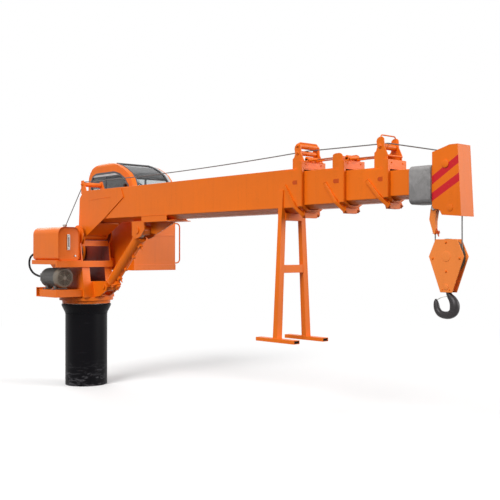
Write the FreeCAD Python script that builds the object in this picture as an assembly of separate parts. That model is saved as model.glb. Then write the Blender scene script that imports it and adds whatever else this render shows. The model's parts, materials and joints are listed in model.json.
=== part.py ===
import FreeCAD, Part
import math
import os

from FreeCAD import Vector

os.makedirs("parts", exist_ok=True)

# running gaps
seat = 0.3
pinFit = 0.05

# column and slewing ring
columnRadius = 335
columnWall = 16
columnTop = 1300
flareStart = 1150
flareRadius = 395
footPlate = 20
deckZ = 1418
tableRadius = 430
tableThick = 56
skirtRadius = 385
skirtWall = 35
bearingRadius = 340
bearingBore = 240

# turret cheeks and cross members
cheekIn = 250
cheekThick = 25
cheekOut = cheekIn + cheekThick
frontFoot = 400
frontLean = 0.165
rearFoot = -400
pivotX = 190
pivotZ = 2410
pivotCrown = 150
pinRadius = 40
frontPlate = 20
lowOpenHalf = 138
lowOpenBottom = 1670
shelfBottom = 1896
shelfTop = 1996
shelfDeep = 50
shelfReach = -735
hubRadius = 80
beamDeep = 88
beamTop = pivotZ - hubRadius - 12
beamBottom = beamTop - beamDeep

# winch
winchX = -580
winchZ = 2150
drumRadius = 110
packRadius = 155
flangeRadius = 205
flangeOut = 215
flangeThick = 12

# boom sections: half width, bend height, top, underside half width, underside height, wall
sections = {
    "base": (180, 2650, 3105, 80, 2595, 10),
    "two": (157, 2674, 3070, 70, 2626, 8),
    "three": (136, 2696, 3030, 60, 2654, 8),
    "four": (115, 2716, 2985, 50, 2680, 8),
}
baseRear, baseFront = 560, 5065
twoRear, twoFront = 950, 5690
threeRear, threeFront = 1150, 6290
fourRear, fourFront = 1350, 6815

# hoist rope path
ropeRadius = 7
tailRollerX, tailRollerZ, tailRollerR = 165, 3215, 36
rollerOneX, rollerOneZ, rollerOneR = 4960, 3289, 28
rollerThreeX, rollerThreeZ, rollerThreeR = 6164, 3258, 34
tailRopeY = -130
blockX, blockZ, blockGroove, blockRim = 6935, 2075, 153, 180
sheaveZ, sheaveGroove, sheaveRim = 3005, 113, 132
liveX = blockX + blockGroove + ropeRadius
sheaveX = liveX - sheaveGroove - ropeRadius
socketX = blockX - blockGroove - ropeRadius
socketPinZ = 2572

# luffing cylinder
footX, footZ = 683, 1594
eyeX, eyeZ = 1620, 2450
barrelRadius = 88
boreRadius = 70
rodRadius = 46

# power pack
tankRear, tankFront = -470, 330
tankNear, tankFar = -700, -325
tankBottom, tankTop = 2008, 2525
tankWall = 5
motorY, motorZ = -565, 1730
motorRadius, fanRadius = 148, 158
motorShelfTop = 1545
motorShelfDeep = 115

# cab
cabNear, cabFar = 400, 1220
cabWall = 18
cabFloorZ = 1840
cabCrown = 3620
shoulder = 70

# boom rest
restX = 4700
restTube = 66
restWall = 5
restFootZ = 1050
restFootLong = 650


def box(x0, x1, y0, y1, z0, z1):
    return Part.makeBox(x1 - x0, y1 - y0, z1 - z0, Vector(x0, y0, z0))


def plate(points, y0, y1):
    wire = Part.makePolygon([Vector(x, y0, z) for x, z in points + points[:1]])
    return Part.Face(wire).extrude(Vector(0, y1 - y0, 0))


def rodY(x, z, radius, y0, y1):
    return Part.makeCylinder(radius, y1 - y0, Vector(x, y0, z), Vector(0, 1, 0))


def rodX(y, z, radius, x0, x1):
    return Part.makeCylinder(radius, x1 - x0, Vector(x0, y, z), Vector(1, 0, 0))


def rodZ(x, y, radius, z0, z1):
    return Part.makeCylinder(radius, z1 - z0, Vector(x, y, z0))


def bar(start, end, radius):
    a, b = Vector(*start), Vector(*end)
    return Part.makeCylinder(radius, (b - a).Length, a, b - a)


def fuse(shapes):
    out = shapes[0].multiFuse(shapes[1:]) if len(shapes) > 1 else shapes[0]
    return out.removeSplitter()


def both(shape):
    return [shape, shape.mirror(Vector(0, 0, 0), Vector(0, 1, 0))]


def save(name, shape):
    shape.exportStep("parts/%s.step" % name)


def bentTube(points, radius):
    knots = [Vector(*p) for p in points]
    edges = []
    last = knots[0]
    for before, knot, after in zip(knots, knots[1:], knots[2:]):
        back, ahead = before - knot, after - knot
        cut = 0.45 * min(back.Length, ahead.Length)
        start = knot + back.normalize() * cut
        end = knot + ahead.normalize() * cut
        half = back.getAngle(ahead) / 2
        bow = cut / math.cos(half) - cut * math.tan(half)
        middle = knot + (back + ahead).normalize() * bow
        edges += [Part.LineSegment(last, start).toShape(), Part.Arc(start, middle, end).toShape()]
        last = end
    edges.append(Part.LineSegment(last, knots[-1]).toShape())
    ring = Part.Wire(Part.Circle(knots[0], knots[1] - knots[0], radius).toShape())
    return Part.Wire(edges).makePipeShell([ring], True, False)


def tangent(c0, r0, c1, r1, side):
    dx, dz = c1[0] - c0[0], c1[1] - c0[1]
    reach = math.hypot(dx, dz)
    turn = math.atan2(dz, dx) + side * math.acos((r0 - r1) / reach)
    nx, nz = math.cos(turn), math.sin(turn)
    return (c0[0] + r0 * nx, c0[1] + r0 * nz), (c1[0] + r1 * nx, c1[1] + r1 * nz)


def sectionFace(key, inset=0):
    half, bend, top, low, under, wall = sections[key]
    lean = math.hypot(half - low, bend - under)
    nx, nz = (bend - under) / lean, (half - low) / lean
    h, t, u = half - inset, top - inset, under + inset
    k = (half * nx - bend * nz) - inset
    bendIn = (h * nx - k) / nz
    lowIn = (k + u * nz) / nx
    return [(-h, bendIn), (-lowIn, u), (lowIn, u), (h, bendIn), (h, t), (-h, t)]


def sectionSolid(key, x0, x1, inset=0):
    ring = [Vector(x0, y, z) for y, z in sectionFace(key, inset)]
    return Part.Face(Part.makePolygon(ring + ring[:1])).extrude(Vector(x1 - x0, 0, 0))


def sectionTube(key, x0, x1):
    return sectionSolid(key, x0, x1).cut(sectionSolid(key, x0 - 1, x1 + 1, sections[key][5]))


def spool(x, z, groove, rim, half):
    lip = 8
    profile = [(0, -half), (rim, -half), (rim, -half + lip), (groove, -ropeRadius), (groove, ropeRadius),
               (rim, half - lip), (rim, half), (0, half)]
    wire = Part.makePolygon([Vector(x + r, y, z) for r, y in profile + profile[:1]])
    return Part.Face(wire).revolve(Vector(x, 0, z), Vector(0, 1, 0), 360)


def frontX(z):
    return frontFoot - frontLean * (z - deckZ)


# column: flared tube closed by a foot plate
outer = [(0, 0), (columnRadius, 0), (columnRadius, flareStart), (flareRadius, columnTop - 25),
         (flareRadius, columnTop)]
inner = [(flareRadius - 130, columnTop), (flareRadius - 130, columnTop - 25),
         (columnRadius - columnWall, flareStart), (columnRadius - columnWall, footPlate), (0, footPlate)]
profile = [Vector(r, 0, z) for r, z in outer + inner]
column = Part.Face(Part.makePolygon(profile + profile[:1])).revolve(Vector(0, 0, 0), Vector(0, 0, 1), 360)
save("column", column)

tableBottom = deckZ - tableThick
bearing = rodZ(0, 0, bearingRadius, columnTop, tableBottom - seat)
save("slew_bearing", bearing.cut(rodZ(0, 0, bearingBore, columnTop - 1, tableBottom)))

skirt = rodZ(0, 0, skirtRadius, columnTop + 12, tableBottom)
skirt = skirt.cut(rodZ(0, 0, skirtRadius - skirtWall, columnTop, tableBottom + 1))
table = fuse([rodZ(0, 0, tableRadius, tableBottom, deckZ), skirt])
save("turntable", table.cut(rodZ(0, 0, bearingBore, columnTop, deckZ + 1)))

# turret frame
crown = rodY(pivotX, pivotZ, pivotCrown, cheekIn, cheekOut)
cheekEdge = [(rearFoot, deckZ), (frontFoot, deckZ), (frontX(pivotZ), pivotZ), (pivotX, pivotZ + pivotCrown),
             (pivotX - pivotCrown, pivotZ), (-430, 2400), (-800, 2300), (-800, 2010), (-430, 1760)]
cheek = fuse([plate(cheekEdge, cheekIn, cheekOut), crown])
cheek = cheek.cut(rodY(pivotX, pivotZ, pinRadius, cheekIn - 1, cheekOut + 1))
cheek = cheek.cut(rodY(winchX, winchZ, 35, cheekIn - 1, cheekOut + 1))
slope = [(frontX(deckZ), deckZ), (frontX(shelfTop), shelfTop), (frontX(shelfTop) - frontPlate, shelfTop),
         (frontX(deckZ) - frontPlate, deckZ)]
front = plate(slope, -cheekIn, cheekIn)
front = front.cut(box(0, 600, -lowOpenHalf, lowOpenHalf, lowOpenBottom, shelfBottom))
shelfX = frontX(shelfBottom)
shelf = box(shelfX - 20, shelfX + shelfDeep - 20, shelfReach, cheekOut, shelfBottom, shelfTop)
beamX = frontX(beamTop)
beam = box(beamX - 35, beamX, -cheekIn, cheekIn, beamBottom, beamTop)
rear = box(rearFoot, rearFoot + frontPlate, -cheekIn, cheekIn, deckZ, 1760)
tie = rodY(-772, 2022, 18, -cheekIn, cheekIn)
padEye = plate([(beamX - 20, beamTop - 60), (beamX + 30, beamTop - 60), (beamX + 62, beamTop),
                (beamX + 66, beamTop + 62), (beamX + 30, beamTop + 62), (beamX + 8, beamTop),
                (beamX - 20, beamTop)], -232, -214)
padEye = padEye.cut(rodY(beamX + 44, beamTop + 34, 13, -240, -200))
cabArms = [box(-330, -250, cheekOut, cabNear, 1900, 2040), box(120, 200, cheekOut, cabNear, 1900, 2040),
           box(-330, -250, cheekOut, cabNear, 2240, 2340)]
winchCap = rodY(winchX, winchZ, 60, -cheekOut - 24, -cheekOut)
save("turret_frame", fuse(both(cheek) + [front, shelf, beam, rear, tie, padEye, winchCap] + cabArms))
save("boom_pin", rodY(pivotX, pivotZ, pinRadius, -cheekOut - 14, cheekOut + 14))

# cylinder foot lugs on the front plate
lugHalf = 75
lugThick = 25
lugEdge = [(frontX(1425), 1425), (560, 1440), (footX + 60, footZ - 62), (footX + 85, footZ),
           (footX + 50, footZ + 70), (footX - 40, footZ + 85), (frontX(1668), 1668)]
lug = plate(lugEdge, lugHalf, lugHalf + lugThick).cut(rodY(footX, footZ, 35, 0, 200))
footWeb = plate([(frontX(1425), 1425), (555, 1440), (555, 1460), (frontX(1445), 1445)], -lugHalf, lugHalf)
save("cylinder_foot", fuse(both(lug) + [footWeb, rodY(footX, footZ, 35, -118, 118)]))

# winch between the cheeks
drum = fuse([rodY(winchX, winchZ, drumRadius, -flangeOut, flangeOut),
             rodY(winchX, winchZ, flangeRadius, flangeOut - flangeThick, flangeOut),
             rodY(winchX, winchZ, flangeRadius, -flangeOut, -flangeOut + flangeThick),
             rodY(winchX, winchZ, packRadius, -flangeOut + flangeThick, flangeOut - flangeThick),
             rodY(winchX, winchZ, 35, -cheekOut, cheekOut)])
save("winch_drum", drum)
save("winch_motor", fuse([rodY(winchX, winchZ, 88, cheekOut, cheekOut + 50),
                          rodY(winchX, winchZ, 62, cheekOut + 50, cheekOut + 105)]))

# power pack
def tankFace(x0, x1, inset):
    y0, y1 = tankNear + inset, tankFar - inset
    z0, z1 = tankBottom + inset, tankTop - inset
    body = box(x0, x1, y0, y1, z0, z1)
    tops = [e for e in body.Edges if abs(e.Length - (x1 - x0)) < 0.01 and e.CenterOfMass.z > z1 - 1]
    body = body.makeFillet(110 - inset, tops)
    lows = [e for e in body.Edges if abs(e.Length - (x1 - x0)) < 0.01 and e.CenterOfMass.z < z0 + 1]
    return body.makeFillet(50 - inset, lows)


save("oil_tank", tankFace(tankRear, tankFront, 0).cut(tankFace(tankRear - 1, tankFront + 1, tankWall)))
recess = 14
save("tank_front", tankFace(tankFront - recess - 6, tankFront - recess, tankWall))
save("tank_rear", tankFace(tankRear + recess, tankRear + recess + 6, tankWall))
gaugeX = tankFront - recess
gaugeY = (tankNear + tankFar) / 2 - 5
save("level_gauge", box(gaugeX, gaugeX + 22, gaugeY - 24, gaugeY + 24, tankBottom + 150, tankTop - 110))
trayBottom = tankBottom - 68
trayX = shelfX - 20
tray = box(tankRear, trayX, tankNear - 25, -cheekOut, trayBottom, tankBottom)
tray = tray.cut(box(tankRear + 40, trayX - 40, tankNear, -cheekOut - 40, trayBottom - 1, tankBottom - 8))
lip = box(trayX, trayX + 30, tankNear + 50, tankFar - 50, shelfTop, tankBottom)
save("tank_tray", fuse([tray, lip]))

pumpX = -400
bellX, barrelX, fanX, fanEnd = -245, -200, 210, 300
motor = fuse([rodX(motorY, motorZ, motorRadius, barrelX, fanX), rodX(motorY, motorZ, fanRadius, fanX, fanEnd),
              rodX(motorY, motorZ, motorRadius - 20, bellX, barrelX), rodX(motorY, motorZ, 78, bellX - 45, bellX),
              box(-150, 160, motorY - 115, motorY + 115, motorShelfTop, motorZ - 90),
              box(pumpX, bellX - 45, motorY - 55, motorY + 55, motorZ - 60, motorZ + 65)])
save("pump_motor", motor)
hoseRadius = 17
hoseLow, hoseHigh, hoseY = motorZ + 10, tankBottom + 100, tankNear + 75
hosePath = [(pumpX, motorY, hoseLow), (pumpX - 80, motorY, hoseLow), (pumpX - 200, -600, hoseLow + 30),
            (pumpX - 270, -645, hoseLow + 115), (pumpX - 284, -660, hoseLow + 225),
            (pumpX - 262, -655, hoseHigh - 60), (tankRear - 105, hoseY, hoseHigh),
            (tankRear + recess, hoseY, hoseHigh)]
save("suction_hose", bentTube(hosePath, hoseRadius))
railNear = -745
shelfFoot = motorShelfTop - motorShelfDeep
channelTop = motorZ - motorRadius - 4
skin = 12
channelX, shelfRearX, shelfFrontX = -285, -170, 345
channel = box(channelX, shelfRearX, railNear, -cheekOut, shelfFoot, channelTop)
channel = channel.cut(box(channelX + 9, shelfRearX - 9, railNear - 1, -cheekOut + 1, shelfFoot + 9, channelTop - 9))
sideRail = box(shelfRearX, shelfFrontX - 83, railNear, railNear + 70, shelfFoot, motorShelfTop - skin)
frontRail = box(shelfFrontX - 83, shelfFrontX, railNear, -cheekOut, shelfFoot, motorShelfTop - skin)
deckPlate = box(shelfRearX, shelfFrontX, railNear, -cheekOut, motorShelfTop - skin, motorShelfTop)
save("motor_shelf", fuse([channel, sideRail, frontRail, deckPlate]))

# cab: side profile as places along X and drops below the crown
cabRear, cabFront = -595, 775
cabEdge = [(cabRear, cabFloorZ), (cabFront - 5, cabFloorZ)]
cabEdge += [(x, cabCrown - drop) for x, drop in (
    (cabFront, 900), (cabFront, 660), (765, 530), (738, 405), (689, 305), (600, 213), (470, 135), (320, 68),
    (170, 22), (0, 3), (-120, 0), (-260, 6), (-380, 34), (-471, 78), (-535, 140), (-575, 210), (cabRear, 300))]


def inset(points, gap):
    out = []
    for i, (x, z) in enumerate(points):
        px, pz = points[i - 1]
        qx, qz = points[(i + 1) % len(points)]
        ax, az = x - px, z - pz
        bx, bz = qx - x, qz - z
        la, lb = math.hypot(ax, az), math.hypot(bx, bz)
        n0, n1 = (-az / la, ax / la), (-bz / lb, bx / lb)
        mx, mz = n0[0] + n1[0], n0[1] + n1[1]
        k = gap / (1 + n0[0] * n1[0] + n0[1] * n1[1])
        out.append((x + mx * k, z + mz * k))
    return out


def cabBody(gap):
    y0, y1 = cabNear + gap, cabFar - gap
    side = plate(inset(cabEdge, gap), y0, y1)
    top = cabCrown - gap
    loaf = box(cabRear - 300, cabFront + 300, y0, y1, cabFloorZ, top)
    rims = [e for e in loaf.Edges if e.Length > cabFront - cabRear and e.CenterOfMass.z > top - 1]
    return side.common(loaf.makeFillet(shoulder - gap, rims))


cabInner = cabBody(cabWall)
cabOuter = cabBody(0)
sideEdge = [(x, cabCrown - drop) for x, drop in (
    (-500, 900), (-500, 290), (-440, 205), (-330, 170), (200, 170), (360, 210), (500, 290), (610, 410),
    (655, 560), (660, 900))]
paneMargin = shoulder + 25
paneCuts = {
    "cab_glass_front": box(150, cabFront + 100, cabNear + paneMargin, cabFar - paneMargin, cabCrown - 960,
                           cabCrown + 80),
    "cab_glass_near": plate(sideEdge, cabNear - 10, cabNear + cabWall),
    "cab_glass_far": plate(sideEdge, cabFar - cabWall, cabFar + 10),
    "cab_glass_rear": box(cabRear - 100, cabRear + 60, cabNear + paneMargin, cabFar - paneMargin, cabCrown - 840,
                          cabCrown - 390),
}
shell = cabOuter.cut(cabInner)
paneLayer = cabBody(6).cut(cabBody(12))
for name, cutter in paneCuts.items():
    save(name, paneLayer.common(cutter))
    shell = shell.cut(cutter.cut(cabInner))
save("cab_shell", shell)
railX, railOut = cabFront - 80, cabFar + 150
railLow, railHigh = cabFloorZ + 115, cabFloorZ + 772
railPath = [(railX, cabFar, railHigh), (railX, railOut, railHigh), (railX, railOut, railLow), (railX, cabFar, railLow)]
save("grab_rail", bentTube(railPath, 11))

# luffing cylinder along its own axis
reach = Vector(eyeX - footX, 0, eyeZ - footZ)
closedLength = reach.Length
axis = Vector(reach.x / closedLength, 0, reach.z / closedLength)


def along(s0, s1, radius):
    return Part.makeCylinder(radius, s1 - s0, Vector(footX, 0, footZ) + axis * s0, axis)


barrelEnd = 1130
glandStart = 1060
barrelStart = 104
boreStart = barrelStart + 14
footEye = rodY(footX, footZ, 72, -lugHalf + 6, lugHalf - 6)
barrel = fuse([along(40, barrelStart, 62), along(barrelStart, glandStart, barrelRadius),
               along(glandStart, barrelEnd, barrelRadius + 10), footEye])
barrel = barrel.cut(along(boreStart, glandStart, boreRadius))
barrel = barrel.cut(along(glandStart - 1, barrelEnd + 1, rodRadius + seat))
save("luff_barrel", barrel.cut(rodY(footX, footZ, 35 + pinFit, -100, 100)))
eyeHalf = 95
piston = boreStart + 4
rod = fuse([along(piston, piston + 28, boreRadius - seat), along(piston + 28, closedLength - 20, rodRadius),
            rodY(eyeX, eyeZ, 72, -eyeHalf, eyeHalf)])
save("luff_rod", rod)

# bracket under the boom: two ears, a sole with side plates and a middle web
half, bend, crest, flatHalf, under, baseWall = sections["base"]
bracketTop = under - 12
bracketIn = eyeHalf + 10
bracketThick = 22
bracketOut = bracketIn + bracketThick
earRear, soleRear, soleFront = eyeX - 137, eyeX + 184, eyeX + 880
earEdge = [(earRear, bracketTop), (soleRear, bracketTop), (eyeX + 185, eyeZ + 10), (eyeX + 85, eyeZ - 90),
           (eyeX - 45, eyeZ - 125), (earRear, eyeZ - 75)]
ear = plate(earEdge, bracketIn, bracketOut)
pinHead = rodY(eyeX, eyeZ, 48, bracketOut, bracketOut + 14)
pad = box(earRear - 30, soleFront, -bracketOut, bracketOut, bracketTop - 8, bracketTop)
crownPad = box(earRear - 30, soleFront, -flatHalf, flatHalf, bracketTop, under)
sole = box(soleRear, soleFront, -half, half, bracketTop - 20, bracketTop - 8)
skirtPlate = box(soleRear, soleFront - 90, half - 12, half, bracketTop - 8, bend)
skirtPlate = skirtPlate.cut(sectionSolid("base", baseRear, baseFront))
web = plate([(soleRear, bracketTop - 20), (soleFront - 100, bracketTop - 20), (soleRear + 130, eyeZ - 60),
             (soleRear, eyeZ - 40)], -10, 10)
save("luff_bracket", fuse(both(ear) + both(pinHead) + both(skirtPlate) + [pad, crownPad, sole, web]))

# boom base section and tail
save("base_section", sectionTube("base", baseRear, baseFront))
tailThick = 14
hubEnd = cheekIn - 5
tailLow = (828, bend)
hubNose = tangent(tailLow, 0, (pivotX, pivotZ), hubRadius - 5, 1)[1]
tailRear = [(86, pivotZ + 154), (112, crest - 115), (222, crest)]
tailEdge = tailRear + [(1281, crest), (1348, crest - 154), tailLow, hubNose, (pivotX, pivotZ),
                       (pivotX - hubRadius + 5, pivotZ)]
tail = plate(tailEdge, half, half + tailThick)
rearStrip = tailRear + [(240, crest), (128, crest - 121), (100, pivotZ + 154)]
fall = (tailLow[1] - hubNose[1]) / (tailLow[0] - hubNose[0])
floorEdge = [(x, tailLow[1] - fall * (tailLow[0] - x) + lift) for x, lift in ((330, 0), (680, 0), (680, 13), (330, 13))]
standFoot, standHead = 60, 34
stand = plate([(tailRollerX - standHead, crest - 40), (tailRollerX + 2 * standFoot, crest - 40),
               (tailRollerX + 2 * standFoot, crest), (tailRollerX + standHead, tailRollerZ + 62),
               (tailRollerX - standHead, tailRollerZ + 62)], 166, half)
axleRadius = 15
inside = [plate(rearStrip, -half, half), box(222, baseRear, -half, half, crest - 12, crest),
          plate(floorEdge, -half, half), rodY(pivotX, pivotZ, hubRadius, -hubEnd, hubEnd)]
tailFrame = fuse(both(tail) + both(stand) + inside)
tailFrame = tailFrame.cut(rodY(pivotX, pivotZ, pinRadius + pinFit, -400, 400))
save("boom_tail", tailFrame.cut(rodY(tailRollerX, tailRollerZ, axleRadius, -200, 200)))
save("tail_roller", fuse([rodY(tailRollerX, tailRollerZ, tailRollerR, -160, 160),
                          rodY(tailRollerX, tailRollerZ, axleRadius, -half - 6, half + 6)]))


# collars at the section ends
ringDeep = 72
collarRim = 22
collarRise = 80
collarBack = 290
keelDrop = 70
lipDeep = 14
ribWide = 34
ribThick = 26
bandLift = 34
bandBar = 26
bandHalf = 60


def ringTop(key):
    return sections[key][2] + collarRise


def collar(key, inner, front):
    halfWide, bend, crown, lowHalf, floor, wall = sections[key]
    innerLow, innerFloor = sections[inner][3:5]
    ringX, back, drop = front - ringDeep, front - collarBack, bend + 0.55 * (crown - bend)
    outHalf = halfWide + collarRim
    bridge = box(ringX, front, -outHalf, outHalf, crown - 40, ringTop(key))
    keelEdge = [(-lowHalf - 8, floor - keelDrop), (lowHalf + 8, floor - keelDrop), (halfWide, floor - keelDrop / 2),
                (halfWide, bend), (-halfWide, bend), (-halfWide, floor - keelDrop / 2)]
    ring = [Vector(ringX, y, z) for y, z in keelEdge]
    keel = Part.Face(Part.makePolygon(ring + ring[:1])).extrude(Vector(ringDeep, 0, 0))
    hoop = fuse([sectionSolid(key, ringX, front, -collarRim), bridge, keel])
    hoop = hoop.cut(sectionSolid(key, ringX - 10, front + 10))
    side = plate([(back, crown - 20), (ringX, crown - 20), (ringX, bend + 8), (back, drop)], halfWide, halfWide + 12)
    lowEnd = floor - keelDrop / 2
    reach = math.hypot(front - back, drop - lowEnd)
    nx, nz = ribThick * (drop - lowEnd) / reach, ribThick * (front - back) / reach
    rib = plate([(back, drop), (front, lowEnd), (front, lowEnd + ribThick), (back + nx, drop + nz)],
                halfWide, halfWide + ribWide)
    lip = box(front, front + lipDeep, -innerLow, innerLow, floor - keelDrop, innerFloor - seat)
    return fuse([hoop, lip] + both(side) + both(rib))


def ropeStand(edge, x, z, foot, halfWide):
    points = [(x + a, z + b) for a, b in edge]
    return both(plate([(points[0][0], foot)] + points + [(points[-1][0], foot)], halfWide, halfWide + 14))


def bandAnchor(key, front):
    x, z = front - ringDeep / 2, ringTop(key) + bandLift
    lug = plate([(x - 26, z - bandLift), (x + 26, z - bandLift), (x + 18, z), (x - 18, z)], bandHalf + 18, bandHalf + 30)
    return both(lug) + [rodY(x, z, bandBar, -bandHalf - 30, bandHalf + 30)]


def bandWall(key, x, halfWide):
    return box(x, x + 14, -halfWide, halfWide, sections[key][2], ringTop(key) + bandLift + 30)


standEdge = [(-83, -67), (-59, -50), (-42, -6), (-53, 52), (-18, 99), (26, 99), (47, 79), (52, -5), (93, -87)]
standOneHalf, standTwoHalf, standThreeHalf = 150, 138, 118
guardRadius = 34
guardZ = rollerOneZ + rollerOneR + 2 * ropeRadius + 8 + guardRadius
wallTwoX, wallThreeX = twoFront - 150, threeFront - 190
standOne = ropeStand(standEdge, rollerOneX, rollerOneZ, sections["base"][2], standOneHalf)
standThree = ropeStand(standEdge, rollerThreeX, rollerThreeZ, sections["three"][2], standThreeHalf)
lobe = [(-88, 0), (-84, 66), (-40, 83), (12, 85), (50, 65), (62, 40)]
standTwo = ropeStand(lobe, twoFront - 106, ringTop("two"), sections["two"][2], standTwoHalf)
guard = rodY(rollerOneX, guardZ, guardRadius, -standOneHalf, standOneHalf)
save("collar_1", fuse([collar("base", "two", baseFront), guard] + standOne + bandAnchor("base", baseFront)))
save("collar_2", fuse([collar("two", "three", twoFront), bandWall("two", wallTwoX, standTwoHalf)] + standTwo
                      + bandAnchor("two", twoFront)))
save("collar_3", fuse([collar("three", "four", threeFront), bandWall("three", wallThreeX, standThreeHalf)]
                      + standThree))
save("rope_roller_1", rodY(rollerOneX, rollerOneZ, rollerOneR, -standOneHalf, standOneHalf))
save("rope_roller_3", rodY(rollerThreeX, rollerThreeZ, rollerThreeR, -standThreeHalf, standThreeHalf))

# inner sections
save("section_2", sectionTube("two", twoRear, twoFront))
save("section_3", sectionTube("three", threeRear, threeFront))
save("section_4", sectionTube("four", fourRear, fourFront))
sleeveLong = 272
sleeveRim = 25
fourHalf, fourTop, fourUnder = sections["four"][0], sections["four"][2], sections["four"][4]
sleeve = box(fourFront - sleeveLong, fourFront, -fourHalf - sleeveRim, fourHalf + sleeveRim, fourUnder - 68,
             fourTop + sleeveRim)
save("tip_sleeve", sleeve.cut(sectionSolid("four", fourRear, fourFront + 10)))

# boom head
headHalf = 113
headWall = 12
headRear = fourFront
headNose, headToe = headRear + 303, headRear + 343
headCrest = sheaveZ + 189
headFoot = socketPinZ - 98
headBack = headCrest - 59
headHem = headFoot + 116
headEdge = [(headRear, headBack), (headRear + 210, headCrest), (headNose, headCrest), (headToe, headFoot),
            (headRear + 117, headFoot + 20), (headRear + 85, headFoot + 74), (headRear + 20, headFoot + 88),
            (headRear, headHem)]
cheekPlate = plate(headEdge, headHalf - headWall, headHalf).cut(rodY(sheaveX, sheaveZ, 30, 0, 200))
inY = headHalf - headWall
frontSkin = plate([(headNose - headWall, headCrest), (headNose, headCrest), (headToe, headFoot),
                   (headToe - headWall, headFoot)], -inY, inY)
topSkin = plate([(headNose - 78, headCrest - headWall), (headNose - headWall + 1, headCrest - headWall),
                 (headNose - headWall, headCrest), (headNose - 78, headCrest)], -inY, inY)
rearSkin = box(headRear, headRear + headWall, -inY, inY, headHem, headBack)
lugTop = headHem + 16
anchor = plate([(headRear, lugTop), (socketX - 34, lugTop), (socketX - 34, socketPinZ - 20),
                (socketX - 14, socketPinZ - 36), (socketX + 20, socketPinZ - 36), (headRear, headHem - 30)], -12, 12)
anchorTie = box(headRear, headRear + headWall, -inY, inY, headHem - 30, headHem)
save("boom_head", fuse(both(cheekPlate) + [frontSkin, topSkin, rearSkin, anchor, anchorTie,
                                           rodY(socketX, socketPinZ, 15, -34, 34)]))
save("head_sheave", fuse([spool(sheaveX, sheaveZ, sheaveGroove, sheaveRim, 30),
                          rodY(sheaveX, sheaveZ, 30, -headHalf - 12, headHalf + 12)]))

# tackle under the head
socketLow = socketPinZ - 287
wedgeLow = socketLow + 75
ears = both(plate([(socketX - 32, wedgeLow), (socketX + 32, wedgeLow), (socketX + 30, socketPinZ),
                   (socketX + 14, socketPinZ + 28), (socketX - 14, socketPinZ + 28),
                   (socketX - 30, socketPinZ)], 14, 30))
ears = [e.cut(rodY(socketX, socketPinZ, 15 + pinFit, -60, 60)) for e in ears]
wedge = plate([(socketX - 32, socketPinZ - 72), (socketX + 32, socketPinZ - 72), (socketX + 32, wedgeLow),
               (socketX + 14, socketLow), (socketX - 14, socketLow), (socketX - 32, wedgeLow)], -14, 14)
save("wedge_socket", fuse(ears + [wedge]))
save("rope_dead", rodZ(socketX, 0, ropeRadius, blockZ, socketLow))
liveTop = socketPinZ - 32
save("rope_live", rodZ(liveX, 0, ropeRadius, blockZ, liveTop - seat))

cheekGap = 36
cheekPlateThick = 10
blockTop, blockLow = blockZ + 175, blockZ - 365
hexEdge = [(-129, blockTop), (129, blockTop), (210, blockZ), (71, blockLow), (-71, blockLow), (-210, blockZ)]
blockCheek = plate([(blockX + x, z) for x, z in hexEdge], cheekGap, cheekGap + cheekPlateThick)
trunnionZ = blockLow + 55
shankRadius = 26
nutRadius = 33
sheaveHalf = 30
trunnion = box(blockX - 48, blockX + 48, -cheekGap, cheekGap, trunnionZ - 42, trunnionZ + 32)
blockFrame = fuse(both(blockCheek) + [trunnion, rodY(blockX, blockZ, 30, -cheekGap - 26, cheekGap + 26)])
save("hook_block", blockFrame.cut(rodZ(blockX, 0, shankRadius + pinFit, blockLow - 100, trunnionZ + 75)))
blockSheave = spool(blockX, blockZ, blockGroove - seat, blockRim, sheaveHalf)
save("block_sheave", blockSheave.cut(rodY(blockX, blockZ, 30, -60, 60)))

hookLine = [(0, -4), (6, -26), (74, -70), (66, -170), (8, -228), (-74, -226), (-134, -172), (-146, -88)]
hookPath = [(blockX + x, 0, blockLow + z) for x, z in hookLine]
hookRadius = 32
hookBow = bentTube(hookPath, hookRadius)
shank = rodZ(blockX, 0, shankRadius, blockLow - 10, trunnionZ + 60)
nut = rodZ(blockX, 0, nutRadius, trunnionZ + 32 + seat, trunnionZ + 70)
save("hook", fuse([hookBow, shank, nut]))
latch = plate([(blockX - 8, blockLow - 38), (blockX - 132, blockLow - 70), (blockX - 134, blockLow - 80),
               (blockX - 8, blockLow - 50)], -14, 14)
save("hook_latch", latch.cut(bentTube(hookPath, hookRadius + pinFit)))

# hoist rope over the boom
def ropeRun(c0, r0, c1, r1, y0=0, y1=0):
    a, b = tangent(c0, r0 + ropeRadius, c1, r1 + ropeRadius, 1)
    return bar((a[0], y0, a[1]), (b[0], y1, b[1]), ropeRadius)


winchAt = (winchX, winchZ)
tailAt = (tailRollerX, tailRollerZ)
oneAt = (rollerOneX, rollerOneZ)
threeAt = (rollerThreeX, rollerThreeZ)
save("rope_winch_run", ropeRun(winchAt, packRadius, tailAt, tailRollerR + seat, tailRopeY, tailRopeY))
save("rope_base", ropeRun(tailAt, tailRollerR, oneAt, rollerOneR, tailRopeY, 0))
save("rope_mid", ropeRun(oneAt, rollerOneR, threeAt, rollerThreeR + seat))
save("rope_tip", ropeRun(threeAt, rollerThreeR, (sheaveX, sheaveZ), sheaveGroove + seat))
save("rope_head", rodZ(liveX, 0, ropeRadius, liveTop, sheaveZ))
bandRuns = [("base", "two", baseFront, wallTwoX), ("two", "three", twoFront, wallThreeX)]
bandIndex = 0
for key, inner, front, wallX in bandRuns:
    start = (front - ringDeep / 2 + bandBar + 2, ringTop(key) + bandLift)
    end = (wallX - 3 * seat, ringTop(inner) + bandLift)
    for y in (-bandHalf, bandHalf):
        bandIndex += 1
        save("extension_rope_%d" % bandIndex, bar((start[0], y, start[1]), (end[0], y, end[1]), ropeRadius))

# boom rest under the base section
restHalfTop = 172
restHalfFoot = 250
saddleBottom = under - 70
postLow = restFootZ + restTube


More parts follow.
